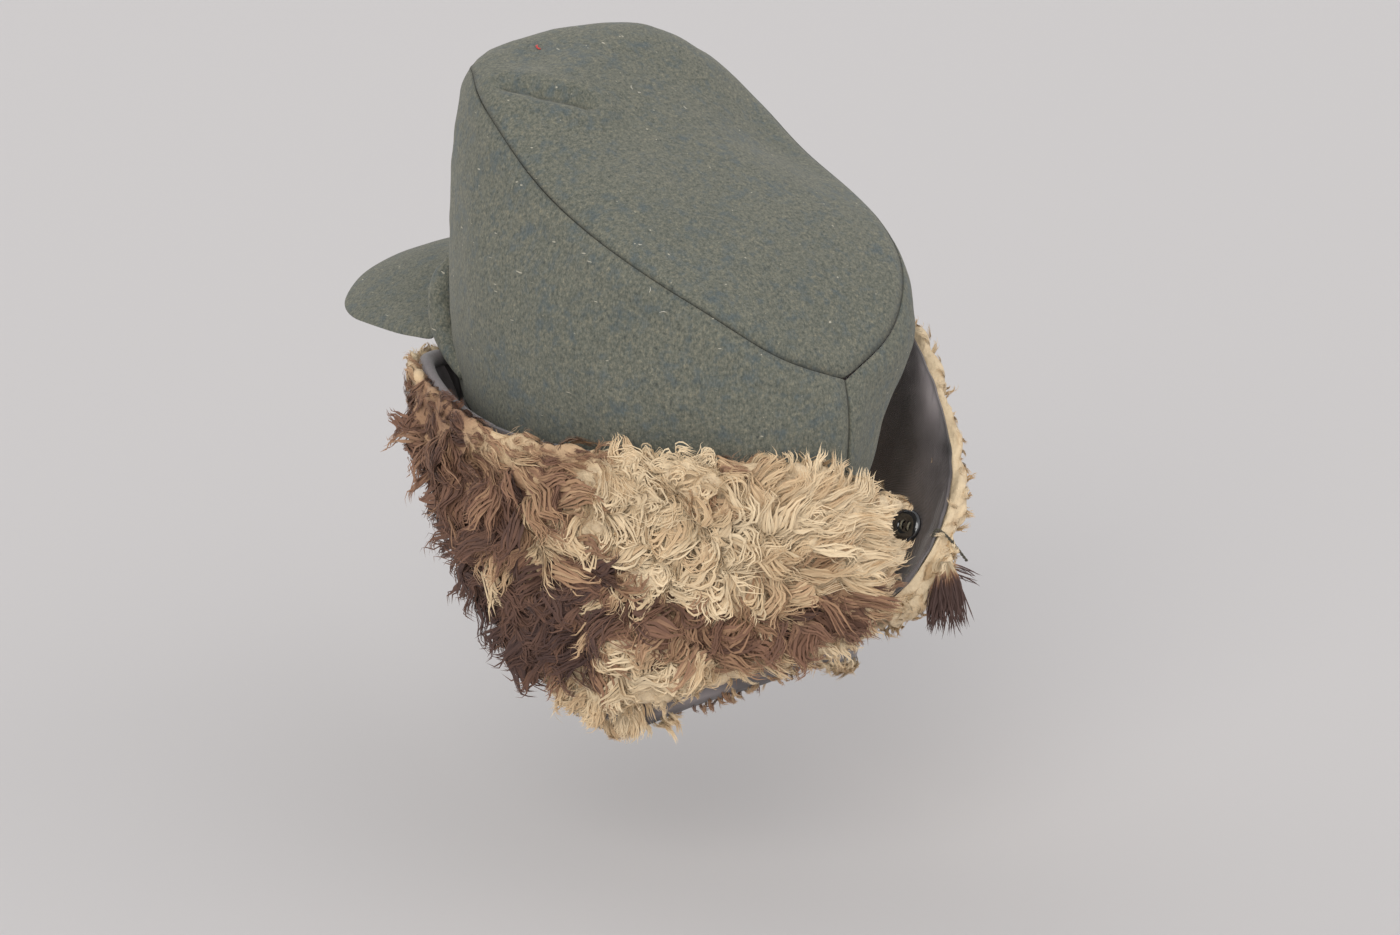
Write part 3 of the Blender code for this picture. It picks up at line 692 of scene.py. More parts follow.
def hide(node, name, lining, drawn_in, seed, lumpy=0.0012, bare=0.0012):
    """A fleece body with its outer side drawn in, and how much hair grows at each point."""
    piece = smoothed(node, name, 2, sharp=200)
    places = points_of(piece)
    tree = surface_of(lining)
    near = [tree.find_nearest(Vector(p)) for p in places]
    gap = np.array([n[3] for n in near])
    foot = np.array([n[0] for n in near])
    outer = np.clip((gap - 0.003) / 0.004, 0, 1)
    hairy = np.clip((gap - bare) / 0.0015, 0, 1)
    places = places + (foot - places) * (drawn_in * outer)[:, None]
    places += normals_of(piece) * (lumpy * outer * ripple(places, 0.022, seed))[:, None]
    move_points(piece, places)
    store(piece, "hair", hairy)
    hem = surface_points([v.co for v in edge_points(lining)])
    piece["from_hem"] = [hem.find(Vector(p))[2] for p in foot]
    return piece


def comb(piece, turn, way, stray, seed):
    """The way the hair lies at each point of a hide, with soft random swirls."""
    places, ways = points_of(piece), normals_of(piece)
    way = np.radians(way + stray * ripple(places, 0.045, seed) + 0.4 * stray * ripple(places, 0.020, seed + 1))
    back = np.stack([np.cos(np.radians(turn)), np.sin(np.radians(turn)), np.zeros(len(turn))], 1)
    back -= ways * np.einsum("ij,ij->i", back, ways)[:, None]
    back /= np.linalg.norm(back, axis=1)[:, None] + 1e-9
    up = np.cross(ways, back)
    up *= np.sign(up[:, 2:3] + 1e-9)
    return back * np.cos(way)[:, None] + up * np.sin(way)[:, None]


def part_into_clumps(piece, flow, size, reach, round_up, seed):
    """Gathers a hide's hair into clumps: the hair of a clump leans to one tip, and the hide swells under it."""
    places, ways = points_of(piece), normals_of(piece)
    chance = np.random.default_rng(seed)
    centres = []
    for i in chance.permutation(len(places)):
        if all(np.linalg.norm(places[i] - places[j]) > 0.5 * (size[i] + size[j]) for j in centres):
            centres.append(i)
    centres = np.array(centres)
    gaps = np.linalg.norm(places[:, None, :] - places[None, centres, :], axis=2) / size[centres]
    own = np.argmin(gaps, axis=1)
    near = gaps[np.arange(len(places)), own]
    tips = places[centres] + flow[centres] * reach[centres][:, None]
    lean = tips[own] - places
    lean -= ways * np.einsum("ij,ij->i", lean, ways)[:, None]
    far = np.linalg.norm(lean, axis=1)
    way = 0.50 * lean / (far[:, None] + 1e-9) + 0.50 * flow
    store(piece, "flow", way, "FLOAT_VECTOR")
    luck = chance.uniform(-1, 1, (4, len(centres)))
    swell = np.clip(1 - (near / 0.62) ** 2, -0.6, 1)
    outer = np.empty(len(places), np.float32)
    piece.data.attributes["hair"].data.foreach_get("value", outer)
    move_points(piece, places + ways * (round_up * swell * outer)[:, None])
    print(piece.name, "has", len(centres), "clumps")
    return np.clip(far / LOCK_LENGTH, 0.5, 1.3), luck[0][own], luck[1][own], luck[2][own]


# %% [markdown]
# A set of locks
#
# Locks differ from place to place: combed flat, in long waves, or curled up into rings. Each kind is made once,
# lying along X from its root, as a handful of narrow ribbons. A ribbon is walked forwards step by step while its
# heading swings from side to side for a wave, or keeps turning for a curl. A ribbon is only a few faces,
# because it is repeated thousands of times, and its finish makes it look round.

# %% Make the locks
LOCK_WIDTH = 0.0046
LOCK_CROWN = 0.0011
STRAND_WIDTH = 0.00090
HEAD_CURVE = 0.11


def grow_ribbon(work, layers, side_on, spread, wave, curl, rise, phase, width, steps, loose, chance):
    """One ribbon of a lock, from its root to its pointed tip. The ribbons of a lock lie over it like a half pipe."""
    tone = chance.random()
    aside = side_on * spread / 2
    sway = chance.uniform(-loose, loose)
    start = chance.uniform(-0.14, 0.12)
    reach = LOCK_LENGTH * chance.uniform(0.78, 1.12)
    roll = -0.75 * side_on + chance.uniform(-0.25, 0.25)
    lift = -LOCK_CROWN * side_on ** 2 + chance.uniform(-0.0004, 0.0005)
    place = Vector((start * LOCK_LENGTH, aside, 0))
    last = None
    for i in range(steps + 1):
        t = i / steps
        heading = sway + wave * math.sin(2 * math.pi * (1.15 * t + phase)) + curl * t ** 1.4
        way = Vector((math.cos(heading), math.sin(heading), 0))
        gather = -aside * 0.65 * t ** 1.5
        bulge = rise * math.sin(math.pi * min(1, t ** 0.75)) + lift - 0.0016 * (1 - t)
        spot = place + Vector((0, gather, bulge - place.x * place.x / (2 * HEAD_CURVE)))
        half = width / 2 * (0.30 + 0.70 * math.sin(math.pi * (0.18 + 0.78 * t))) * (1 - 0.45 * t * t)
        side = Matrix.Rotation(roll * (1 - 0.6 * t), 3, way) @ Vector((-way.y, way.x, 0))
        row = [(spot, 0.5)] if i == steps else [(spot - side * half, 0.0), (spot + side * half, 1.0)]
        points = []
        for point, across in row:
            vertex = work.verts.new(point)
            vertex[layers["across"]] = across
            vertex[layers["tip"]] = t
            vertex[layers["strand"]] = tone
            points.append(vertex)
        if last:
            work.faces.new((last[0], last[1], *reversed(points)))
        last = points
        place += way * reach / steps


def make_lock(name, box, bend, ribbons, steps, width, spread, loose, seed):
    wave, curl, rise = bend
    chance = random.Random(seed)
    work = bmesh.new()
    layers = {key: work.verts.layers.float.new(key) for key in ("across", "tip", "strand")}
    phase = chance.random()
    for k in range(ribbons):
        side_on = 2 * (k + 0.5) / ribbons - 1
        grow_ribbon(work, layers, side_on, spread, wave, curl * chance.uniform(0.86, 1.14), rise,
                    phase + chance.uniform(-0.06, 0.06), width, steps, loose, chance)
    mesh = bpy.data.meshes.new(name)
    work.to_mesh(mesh)
    work.free()
    mesh.shade_smooth()
    lock = bpy.data.objects.new(name, mesh)
    box.objects.link(lock)


LOCK_KINDS = (
    (0.14, 0.30, 0.0022), (0.32, 0.55, 0.0024), (0.52, 0.90, 0.0028), (0.66, 1.40, 0.0030), (0.66, 2.00, 0.0034),
    (0.50, 2.80, 0.0036), (0.40, 3.70, 0.0040), (0.30, 4.60, 0.0042), (0.25, 5.60, 0.0044), (0.20, 6.60, 0.0044),
)
WISP_KINDS = ((0.45, 0.7, 0.0040), (0.75, 1.5, 0.0044), (0.60, 2.6, 0.0048))
lock_box = bpy.data.collections.new("locks")
for number, bend in enumerate(LOCK_KINDS):
    ribbons, steps = (14, 5) if number < 2 else (12, 6) if number < 5 else (9, 8)
    make_lock(f"lock_{number:02d}", lock_box, bend, ribbons, steps, STRAND_WIDTH, LOCK_WIDTH, 0.12, 100 + number)
wisp_box = bpy.data.collections.new("wisps")
for number, bend in enumerate(WISP_KINDS):
    make_lock(f"wisp_{number}", wisp_box, bend, 7, 6, 0.00046, 0.0085, 0.42, 200 + number)

# %% [markdown]
# Growing the locks
#
# Geometry Nodes sets the locks on a hide. It spreads points that keep a distance from each other, turns a lock
# on each so that it stands on the hide and lies the way that was combed, picks a kind by the stored curl, and
# gives each lock a random value for its tone. The copies are made real at the end.

# %% Build the tree that grows locks
def fleece_tree():
    tree = bpy.data.node_groups.new("grow_locks", "GeometryNodeTree")
    for name, kind, value in (
        ("Hide", "NodeSocketGeometry", None), ("Locks", "NodeSocketCollection", None),
        ("Kinds", "NodeSocketInt", 10), ("Spacing", "NodeSocketFloat", 0.005), ("Size", "NodeSocketFloat", 1.0),
        ("Stray", "NodeSocketFloat", 0.4), ("Lift", "NodeSocketFloat", 0.15), ("Seed", "NodeSocketInt", 1),
        ("Finish", "NodeSocketMaterial", None),
    ):
        socket = tree.interface.new_socket(name, in_out="INPUT", socket_type=kind)
        if value is not None:
            socket.default_value = value
    tree.interface.new_socket("Fleece", in_out="OUTPUT", socket_type="NodeSocketGeometry")

    def add(kind, inputs=(), **settings):
        node = tree.nodes.new(kind)
        for key, value in settings.items():
            setattr(node, key, value)
        for key, value in dict(inputs).items():
            if isinstance(value, bpy.types.NodeSocket):
                tree.links.new(value, node.inputs[key])
            else:
                node.inputs[key].default_value = value
        return node

    def out(node, name="", kind=None):
        usable = [s for s in node.outputs if s.enabled and (not name or s.name == name)]
        return usable[0]

    given = add("NodeGroupInput").outputs

    def stored(name, kind="FLOAT"):
        return out(add("GeometryNodeInputNamedAttribute", {"Name": name}, data_type=kind), "Attribute")

    def chance(low, high, salt):
        seed = out(add("FunctionNodeIntegerMath", {0: given["Seed"], 1: salt}, operation="ADD"))
        node = tree.nodes.new("FunctionNodeRandomValue")
        node.data_type = "FLOAT"
        floats = [s for s in node.inputs if s.enabled]
        for socket, value in zip(floats[:2], (low, high)):
            if isinstance(value, bpy.types.NodeSocket):
                tree.links.new(value, socket)
            else:
                socket.default_value = value
        tree.links.new(seed, node.inputs["Seed"])
        return [s for s in node.outputs if s.enabled][0]

    def sums(how, a, b, c=0.0):
        return out(add("ShaderNodeMath", {0: a, 1: b, 2: c}, operation=how))

    spread = add("GeometryNodeDistributePointsOnFaces", {
        "Mesh": given["Hide"], "Distance Min": given["Spacing"], "Density Max": 400000.0,
        "Density Factor": stored("hair"), "Seed": given["Seed"],
    }, distribute_method="POISSON")
    stand = add("FunctionNodeAlignRotationToVector", {"Vector": spread.outputs["Normal"]}, axis="Z")
    laid = add("FunctionNodeAlignRotationToVector", {
        "Rotation": out(stand), "Vector": stored("flow", "FLOAT_VECTOR"),
    }, axis="X", pivot_axis="Z")
    astray = sums("MULTIPLY", given["Stray"], chance(-1.0, 1.0, 11))
    raised = sums("MULTIPLY", given["Lift"], chance(-1.0, 0.4, 12))
    wobble = add("ShaderNodeCombineXYZ", {"X": chance(-0.3, 0.3, 13), "Y": raised, "Z": astray})
    turned = add("FunctionNodeRotateRotation", {
        "Rotation": out(laid), "Rotate By": out(add("FunctionNodeEulerToRotation", {"Euler": out(wobble)})),
    }, rotation_space="LOCAL")
    tightness = sums("ADD", stored("curl"), chance(-0.05, 0.05, 14))
    kind = sums("MINIMUM", sums("MAXIMUM", sums("MULTIPLY", tightness, given["Kinds"]), 0.0), sums("SUBTRACT", given["Kinds"], 1.0))
    kinds = add("GeometryNodeCollectionInfo", {"Collection": given["Locks"], "Separate Children": True, "Reset Children": True})
    size = sums("MULTIPLY", sums("MULTIPLY", given["Size"], stored("long")), chance(0.78, 1.22, 15))
    flip = sums("SIGN", sums("ADD", stored("hand"), chance(-0.3, 0.3, 16)), 0.0)
    scale = add("ShaderNodeCombineXYZ", {"X": size, "Y": sums("MULTIPLY", size, flip), "Z": size})
    grown = add("GeometryNodeInstanceOnPoints", {
        "Points": spread.outputs["Points"], "Instance": out(kinds), "Pick Instance": True,
        "Instance Index": out(add("FunctionNodeFloatToInt", {0: kind}, rounding_mode="FLOOR")),
        "Rotation": out(turned), "Scale": out(scale),
    })
    toned = add("GeometryNodeStoreNamedAttribute", {
        "Geometry": out(grown), "Name": "lock", "Value": chance(0.0, 1.0, 17),
    }, data_type="FLOAT", domain="INSTANCE")
    skinned = add("GeometryNodeStoreNamedAttribute", {
        "Geometry": out(toned), "Name": "skin", "Value": stored("skin", "FLOAT_VECTOR"),
    }, data_type="FLOAT_VECTOR", domain="INSTANCE")
    real = add("GeometryNodeRealizeInstances", {"Geometry": out(skinned)})
    finished = add("GeometryNodeSetMaterial", {"Geometry": out(real), "Material": given["Finish"]})
    tree.links.new(out(finished), add("NodeGroupOutput").inputs["Fleece"])
    return tree


grow_locks = fleece_tree()


def grow(piece, **values):
    """Grows locks on a hide and leaves the locks alone as a plain mesh."""
    growth = piece.modifiers.new("growth", "NODES")
    growth.node_group = grow_locks
    sockets = {s.name: s.identifier for s in grow_locks.interface.items_tree if s.item_type == "SOCKET" and s.in_out == "INPUT"}
    for key, value in {"Locks": lock_box, "Kinds": len(lock_box.objects), "Finish": curly_fleece, **values}.items():
        growth[sockets[key]] = value
    settle(piece)
    print(piece.name, "has", len(piece.data.polygons), "faces of fleece")
    return piece


def tousle(piece, amount, size, seed):
    """Waves neighbouring hairs together, from a little where they lie straight to a lot where they curl."""
    places = points_of(piece)
    curl = np.empty(len(places), np.float32)
    piece.data.attributes["curl"].data.foreach_get("value", curl)
    shift = np.stack([ripple(places, size, seed + k) for k in range(3)], 1)
    fine = np.stack([ripple(places, size * 0.45, seed + 5 + k) for k in range(3)], 1)
    share = amount * (0.5 + 1.1 * np.clip(curl, 0, 1))[:, None]
    move_points(piece, places + share * shift + 0.3 * share * fine)


def part_of(piece, name, share):
    """A copy of a hide that grows hair on only a share of it."""
    copy = link(name, piece.data.copy())
    hair = np.empty(len(copy.data.vertices), np.float32)
    copy.data.attributes["hair"].data.foreach_get("value", hair)
    store(copy, "hair", hair * share)
    return copy


# %% [markdown]
# The left flap
#
# This flap shows whole. Its front half is dark brown and lies in long waves that run down and back. The middle
# is cream and tightly curled, with a few rings, and the end at the nape is combed back and up in long soft
# strands. The patches of colour are charted here, as a shepherd would describe them.

# %% Chart and grow the left flap's fleece
LEFT_BROWN = (
    (82, -1.0, 27, 5.2, 0.72), (100, -5.4, 21, 3.7, 0.90), (108, 2.2, 17, 1.2, 0.50), (117, -2.7, 8, 1.5, 0.88),
    (99, -3.0, 7, 0.7, 0.18), (109, -1.9, 5, 0.6, 0.26), (113, -0.6, 6, 0.8, 0.18), (121, -3.9, 3, 0.8, 0.25), (50, 2.9, 6, 0.9, 0.06), (112, 0.7, 5, 0.8, 0.52),
    (131, -4.2, 9, 1.1, 0.80), (133, -7.0, 12, 2.2, 0.02), (150, 2.2, 8, 1.0, 0.42), (141, 0.5, 6, 0.6, 0.22),
    (148, -5.2, 11, 1.6, 0.62), (158, -2.6, 8, 0.8, 0.34), (168, -4.8, 12, 1.5, 0.66), (187, -5.4, 8, 1.1, 0.45),
    (112, -9.6, 16, 1.4, 0.12),
)
LEFT_CURL = (
    (70, 0.0, 20, 6.0, 0.38), (96, -5.0, 20, 4.0, 0.42), (108, 2.6, 22, 1.2, 0.10), (134, -0.6, 17, 3.4, 0.80),
    (150, -4.4, 14, 2.6, 0.48), (132, -6.8, 12, 2.2, 0.62), (180, -1.0, 20, 3.6, 0.10),
)
LEFT_LIE = (
    (48, 3.2, 150), (58, 2.8, 175), (70, 2.4, 190), (70, 0.5, 160), (74, -3.0, 200), (84, 2.4, -25), (84, 0.6, -75), (92, -1.5, -70),
    (100, -5.0, -110), (94, -7.0, -140), (112, -7.5, -110), (108, 2.6, -8), (118, 1.0, -35), (124, 2.6, 80),
    (134, 2.8, 85), (134, -1.0, -60), (132, -6.0, -80), (146, 2.2, 60), (150, -1.0, -20), (152, -5.6, -45),
    (166, 1.6, 50), (168, -2.0, 15), (170, -5.4, -30), (184, 0.0, 30), (192, -3.0, 5), (186, -6.0, -25),
)


def chart(piece, brown, curl, long, lying, stray, clump, fold, seed, hemmed=0.55, rounded=0.0022):
    """Charts a hide: fold tells where the angle wraps, so that a flap that passes the nape stays in one piece."""
    places = points_of(piece)
    turn = angle_round(places)
    turn = np.where(turn < fold, turn + 360, turn)
    height = places[:, 2] * 100
    tight = patches(turn, height, curl, 0.35)
    length = patches(turn, height, long, 1.0)
    from_hem = np.array(piece["from_hem"])
    length *= hemmed + (1 - hemmed) * np.clip(from_hem / 0.014, 0, 1)
    flow = comb(piece, turn, lie(turn, height, lying), stray, seed + 7)
    size = clump * (1.15 - 0.5 * np.clip(tight, 0, 1))
    span, tone, kind, hand = part_into_clumps(piece, flow, size, LOCK_LENGTH * 0.95 * length, rounded, seed + 9)
    ragged = 3.2 * ripple(places, 0.020, seed), 0.45 * ripple(places, 0.016, seed + 3)
    store(piece, "brown", patches(turn + ragged[0], height + ragged[1], brown, 0.04) + 0.10 * tone)
    store(piece, "curl", np.clip(tight + 0.16 * kind, 0, 0.99))
    store(piece, "long", span * (0.6 + 0.4 * length))
    store(piece, "hand", hand)
    store(piece, "skin", normals_of(piece), "FLOAT_VECTOR")
    return turn, height


LEFT_LONG = ((186, -2.5, 12, 3.0, 0.85), (156, -7.4, 12, 1.1, 0.60), (128, -8.9, 9, 1.0, 0.90), (145, -8.5, 9, 1.0, 0.42), (60, 2.6, 16, 2.0, 0.75), (114, -9.8, 12, 1.4, 1.3), (140, 2.8, 18, 1.0, 1.25))
left_hide = hide("left_flap_fleece", "left_flap_hide", left_lining, 0.42, 31)
left_turn, left_height = chart(left_hide, LEFT_BROWN, LEFT_CURL, LEFT_LONG, LEFT_LIE, 38, 0.010, -60, 33)
left_hide.data.materials.append(matted_wool)
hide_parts("left_flap_fleece")
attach(left_hide, "root")

for name, start, end, seed in (("temple", -90, 92, 41), ("ear", 92, 120, 43), ("middle", 120, 150, 45), ("nape", 150, 400, 47)):
    share = ((left_turn >= start) & (left_turn < end)).astype(float)
    fleece = grow(part_of(left_hide, f"left_fleece_{name}", share), Spacing=0.0032, Seed=seed, Stray=0.30, Lift=0.06)
    tousle(fleece, 0.0021, 0.016, 41)
    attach(fleece, "root")

# Loose wisps of a few hairs each break up the outline of the locks.
left_wisps = grow(part_of(left_hide, "left_fleece_wisps", 1.0), Locks=wisp_box, Kinds=len(WISP_KINDS), Spacing=0.0054, Seed=49, Stray=0.7, Lift=0.15, Size=0.8)
tousle(left_wisps, 0.0021, 0.016, 41)
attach(left_wisps, "root")

# %% [markdown]
# The right flap
#
# This flap is cream all over and is clipped shorter. Little of it shows from behind: its edge beyond the lining
# and its end under the button. It is grown the same way with fewer, smaller locks.

# %% Chart and grow the right flap's fleece
RIGHT_BROWN = ((-75, 0.0, 14, 3.0, 0.16), (-105, -5.5, 16, 2.4, 0.30), (-60, -3.0, 8, 3.0, 0.50), (-140, -7.6, 6, 1.0, 0.12))
RIGHT_LONG = ((-95, -2.0, 120, 20, 0.55),)
RIGHT_CURL = ((-95, -2.0, 200, 40, 0.36),)
RIGHT_LIE = ((-48, 3.4, 120), (-70, 2.0, 100), (-90, 2.5, 112), (-90, -4.0, 215), (-112, 2.0, 128), (-118, -4.0, 200), (-130, -2.0, 140), (-138, -6.0, 205))

right_hide = hide("right_flap_fleece", "right_flap_hide", right_lining, 0.22, 51, 0.0030, 0.0016)
chart(right_hide, RIGHT_BROWN, RIGHT_CURL, RIGHT_LONG, RIGHT_LIE, 34, 0.014, -400, 53, 0.8, 0.0022)
right_hide.data.materials.append(clipped_wool)
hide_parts("right_flap_fleece")
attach(right_hide, "root")
right_fleece = grow(part_of(right_hide, "right_fleece", 1.0), Spacing=0.0050, Seed=61, Stray=0.25, Lift=0.02, Size=1.0)
tousle(right_fleece, 0.0012, 0.016, 61)
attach(right_fleece, "root")

# %% [markdown]
# The neck curtain's fleece
#
# The curtain hangs behind the ears with its fleece towards the neck, so only a fringe shows below its lining.
# Short locks that lie downwards grow on that inner side.

# %% Chart and grow the curtain's fleece
CURTAIN_BROWN = ((148, -8.5, 22, 3.0, 0.52), (212, -8.0, 20, 3.0, 0.35))
CURTAIN_LIE = ((60, -8.0, -90), (120, -8.0, -90), (180, -7.0, -80), (240, -8.0, -90), (300, -8.0, -90))
curtain_hide = hide("curtain_fleece", "curtain_hide", curtain_lining, 0.35, 71)
move_points(curtain_hide, lift_hem(points_of(curtain_hide)))
chart(curtain_hide, CURTAIN_BROWN, ((180, -8, 400, 40, 0.30),), ((180, -8, 400, 40, 0.55),), CURTAIN_LIE, 25, 0.012, 0, 73, 1.0)
curtain_hide.data.materials.append(matted_wool)
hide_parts("curtain_fleece")
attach(curtain_hide, "root")
from_hem = np.array(curtain_hide["from_hem"])
at_hem = np.clip((0.007 - from_hem) / 0.003, 0, 1) * (points_of(curtain_hide)[:, 2] < -0.05)
for name, share, spacing, size in (("curtain_fringe", 1 - at_hem, 0.0068, 0.9), ("curtain_hem_fringe", at_hem, 0.0026, 0.75)):
    curtain_fleece = grow(part_of(curtain_hide, name, share), Spacing=spacing, Seed=81, Stray=0.3, Lift=0.1, Size=size)
    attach(curtain_fleece, "root")

# %% [markdown]
# The curtain's ragged edge
#
# The curtain's own fleece comes round its lower edge as a thin brown fuzz, and below the left flap's corner as a
# pale, ragged tip. Both grow on a copy of the curtain's cloth, on its outer side.

# %% Grow the ragged edge
def edge_of_curtain():
    hide = link("curtain_edge_fleece", curtain_lining.data.copy())
    places, ways = points_of(hide), normals_of(hide)
    turn = angle_round(places)
    rim = surface_points([v.co for v in edge_points(hide)])
    from_rim = np.array([rim.find(Vector(p))[2] for p in places])
    outside = np.einsum("ij,ij->i", ways, places * np.array([1, 1, 0])) > 0
    tip = np.clip((15 - np.abs(turn - 112)) / 4, 0, 1) * np.clip((-0.088 - places[:, 2]) / 0.004, 0, 1)
    edge = np.clip((0.0030 - from_rim) / 0.001, 0, 1) * (places[:, 2] < -0.055)
    store(hide, "hair", np.maximum(tip, edge) * outside)
    hide["from_hem"] = [1.0] * len(places)
    return hide


EDGE_BROWN = ((112, -10, 18, 4, 0.10), (155, -8, 24, 5, 0.46), (-120, -8, 60, 5, 0.35))
EDGE_LONG = ((110, -10, 13, 9, 0.52), (190, -8, 58, 9, 0.44), (-60, -8, 150, 9, 0.40))
curtain_edge = edge_of_curtain()
chart(curtain_edge, EDGE_BROWN, ((112, -10, 400, 20, 0.25),), EDGE_LONG, ((112, -10, -100), (135, -9, -60), (180, -8, -60), (-120, -8, -90)), 30, 0.010, -90, 91)
grow(curtain_edge, Spacing=0.0015, Seed=91, Stray=0.35, Lift=0.1, Size=0.8)
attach(curtain_edge, "root")

# %% [markdown]
# The button
#
# The button is polished black, dished, with four holes, and hangs on a shank of wound thread. The model gives
# its place and size. A finer one is turned here from a profile: the profile is a few points of radius and height,
# spun round the axis. The axis is the direction in which the model's button is thinnest.

# %% Turn the button
def mix_gloss():
    gloss = Finish("polished_black", Roughness=0.22, Coat_Weight=1.0, Coat_Roughness=0.10, Specular_IOR_Level=0.9)
    scuffs = gloss.noise(900, 3)
    shade = gloss.ramp(gloss.noise(160, 2), ((0.3, (0.010, 0.010, 0.012)), (0.7, (0.022, 0.021, 0.024))))
    return gloss.done(shade, gloss.bump(scuffs, 0.00005, 0.3), gloss.ramp(scuffs, ((0.4, 0.12), (0.75, 0.30))))


def mix_thread(name, light, dark):
    thread = Finish(name, Roughness=0.8, Sheen_Weight=0.2)
    return thread.done(thread.ramp(thread.noise(2200, 2), ((0.3, dark), (0.7, light))), thread.bump(thread.noise(3000, 2), 0.0001, 0.5))


polished_black = mix_gloss()
dark_thread = mix_thread("dark_thread", (0.11, 0.10, 0.065), (0.045, 0.04, 0.03))
pale_thread = mix_thread("pale_thread", (0.36, 0.33, 0.22), (0.16, 0.14, 0.10))


def thin_axis(node, outwards):
    """The middle of a flat piece, its radius, its thickness, and the direction in which it is thin."""
    places = np.array([v.co for v in frame["nodes"][node].data.vertices])
    middle = places.mean(0)
    axis = np.linalg.svd(places - middle, full_matrices=False)[2][2]
    axis = axis if np.dot(axis, outwards) > 0 else -axis
    along = (places - middle) @ axis
    aside = np.linalg.norm(places - middle - np.outer(along, axis), axis=1)
    return Vector(middle + axis * (along.max() + along.min()) / 2), aside.max(), along.max() - along.min(), Vector(axis)


BUTTON_PROFILE = (
    (0.0, -0.50), (0.60, -0.50), (0.84, -0.46), (0.96, -0.36), (1.0, -0.22), (0.985, -0.06), (0.94, 0.10), (0.87, 0.25),
    (0.78, 0.38), (0.69, 0.46), (0.61, 0.50), (0.54, 0.46), (0.48, 0.36), (0.42, 0.26), (0.32, 0.20), (0.16, 0.18), (0.0, 0.18),
)
BUTTON_HOLES_OUT = 0.27
BUTTON_HOLE = 0.115


def turn_button():
    middle, radius, thick, axis = thin_axis("button", (0.87, 0.1, 0.48))
    work = bmesh.new()
    rows = [work.verts.new((radius * r, 0, thick * z)) for r, z in BUTTON_PROFILE]
    edges = [work.edges.new(pair) for pair in zip(rows, rows[1:])]
    bmesh.ops.spin(work, geom=rows + edges, cent=(0, 0, 0), axis=(0, 0, 1), angle=2 * math.pi, steps=56, use_duplicate=False)
    bmesh.ops.remove_doubles(work, verts=work.verts[:], dist=1e-6)
    bmesh.ops.recalc_face_normals(work, faces=work.faces[:])
    mesh = bpy.data.meshes.new("black_button")
    work.to_mesh(mesh)
    work.free()
    button = link("black_button", mesh)
    drills = bmesh.new()
    for k in range(4):
        turn = math.radians(45 + 90 * k)
        spot = Matrix.Translation((radius * BUTTON_HOLES_OUT * math.cos(turn), radius * BUTTON_HOLES_OUT * math.sin(turn), 0))
        bmesh.ops.create_cone(drills, cap_ends=True, segments=20, radius1=radius * BUTTON_HOLE, radius2=radius * BUTTON_HOLE, depth=3 * thick, matrix=spot)
    drill_mesh = bpy.data.meshes.new("drills")
    drills.to_mesh(drill_mesh)
    drills.free()
    drill = link("drills", drill_mesh)
    cut = button.modifiers.new("holes", "BOOLEAN")
    cut.object = drill
    cut.solver = "EXACT"
    settle(button)
    bpy.data.objects.remove(drill)
    place = Matrix.Translation(middle) @ axis.to_track_quat("Z", "Y").to_matrix().to_4x4()
    button.data.transform(place)
    button.data.materials.clear()
    button.data.materials.append(polished_black)
    button.data.shade_smooth()
    button.data.set_sharp_from_angle(angle=math.radians(40))
    print("button", round(2000 * radius, 1), "mm across,", round(1000 * thick, 1), "mm thick")
    return button, place, radius, thick


def sweep(name, path, radius, finish, sides=10):
    """A closed round tube along a path, with one radius or one for each point."""
    work = bmesh.new()
    path = [Vector(p) for p in path]
    radii = radius if isinstance(radius, (list, tuple)) else [radius] * len(path)
    rows, across = [], None
    for i, (point, r) in enumerate(zip(path, radii)):
        along = (path[min(i + 1, len(path) - 1)] - path[max(i - 1, 0)]).normalized()
        across = along.orthogonal().normalized() if across is None else (across - along * across.dot(along)).normalized()
        up = along.cross(across)
        turns = [2 * math.pi * k / sides for k in range(sides)]
        rows.append([work.verts.new(point + (across * math.cos(t) + up * math.sin(t)) * r) for t in turns])
    for low, high in zip(rows, rows[1:]):
        for k in range(sides):
            n = (k + 1) % sides
            work.faces.new((low[k], low[n], high[n], high[k]))
    work.faces.new(list(reversed(rows[0])))
    work.faces.new(rows[-1])
    mesh = bpy.data.meshes.new(name)
    work.to_mesh(mesh)
    work.free()
    mesh.shade_smooth()
    mesh.materials.append(finish)
    return link(name, mesh)


def join(name, pieces):
    """Makes one mesh of several."""
    work = bmesh.new()
    for piece in pieces:
        work.from_mesh(piece.data)
    mesh = bpy.data.meshes.new(name)
    work.to_mesh(mesh)
    work.free()
    mesh.shade_smooth()
    mesh.materials.append(pieces[0].data.materials[0])
    for piece in pieces:
        bpy.data.objects.remove(piece)
    return link(name, mesh)


button, button_place, button_radius, button_thick = turn_button()


def clear_hair(piece, middle, way, radius, reach=0.05):
    """Takes away the hair that would lie over a small round thing."""
    work = bmesh.new()
    work.from_mesh(piece.data)
    over = []
    for face in work.faces:
        step = face.calc_center_median() - middle
        ahead = step.dot(way)
        if -0.004 < ahead < reach and (step - way * ahead).length < radius:
            over.append(face)
    bmesh.ops.delete(work, geom=over, context="FACES")
    work.to_mesh(piece.data)
    work.free()
    print(piece.name, "loses", len(over), "faces over the button")


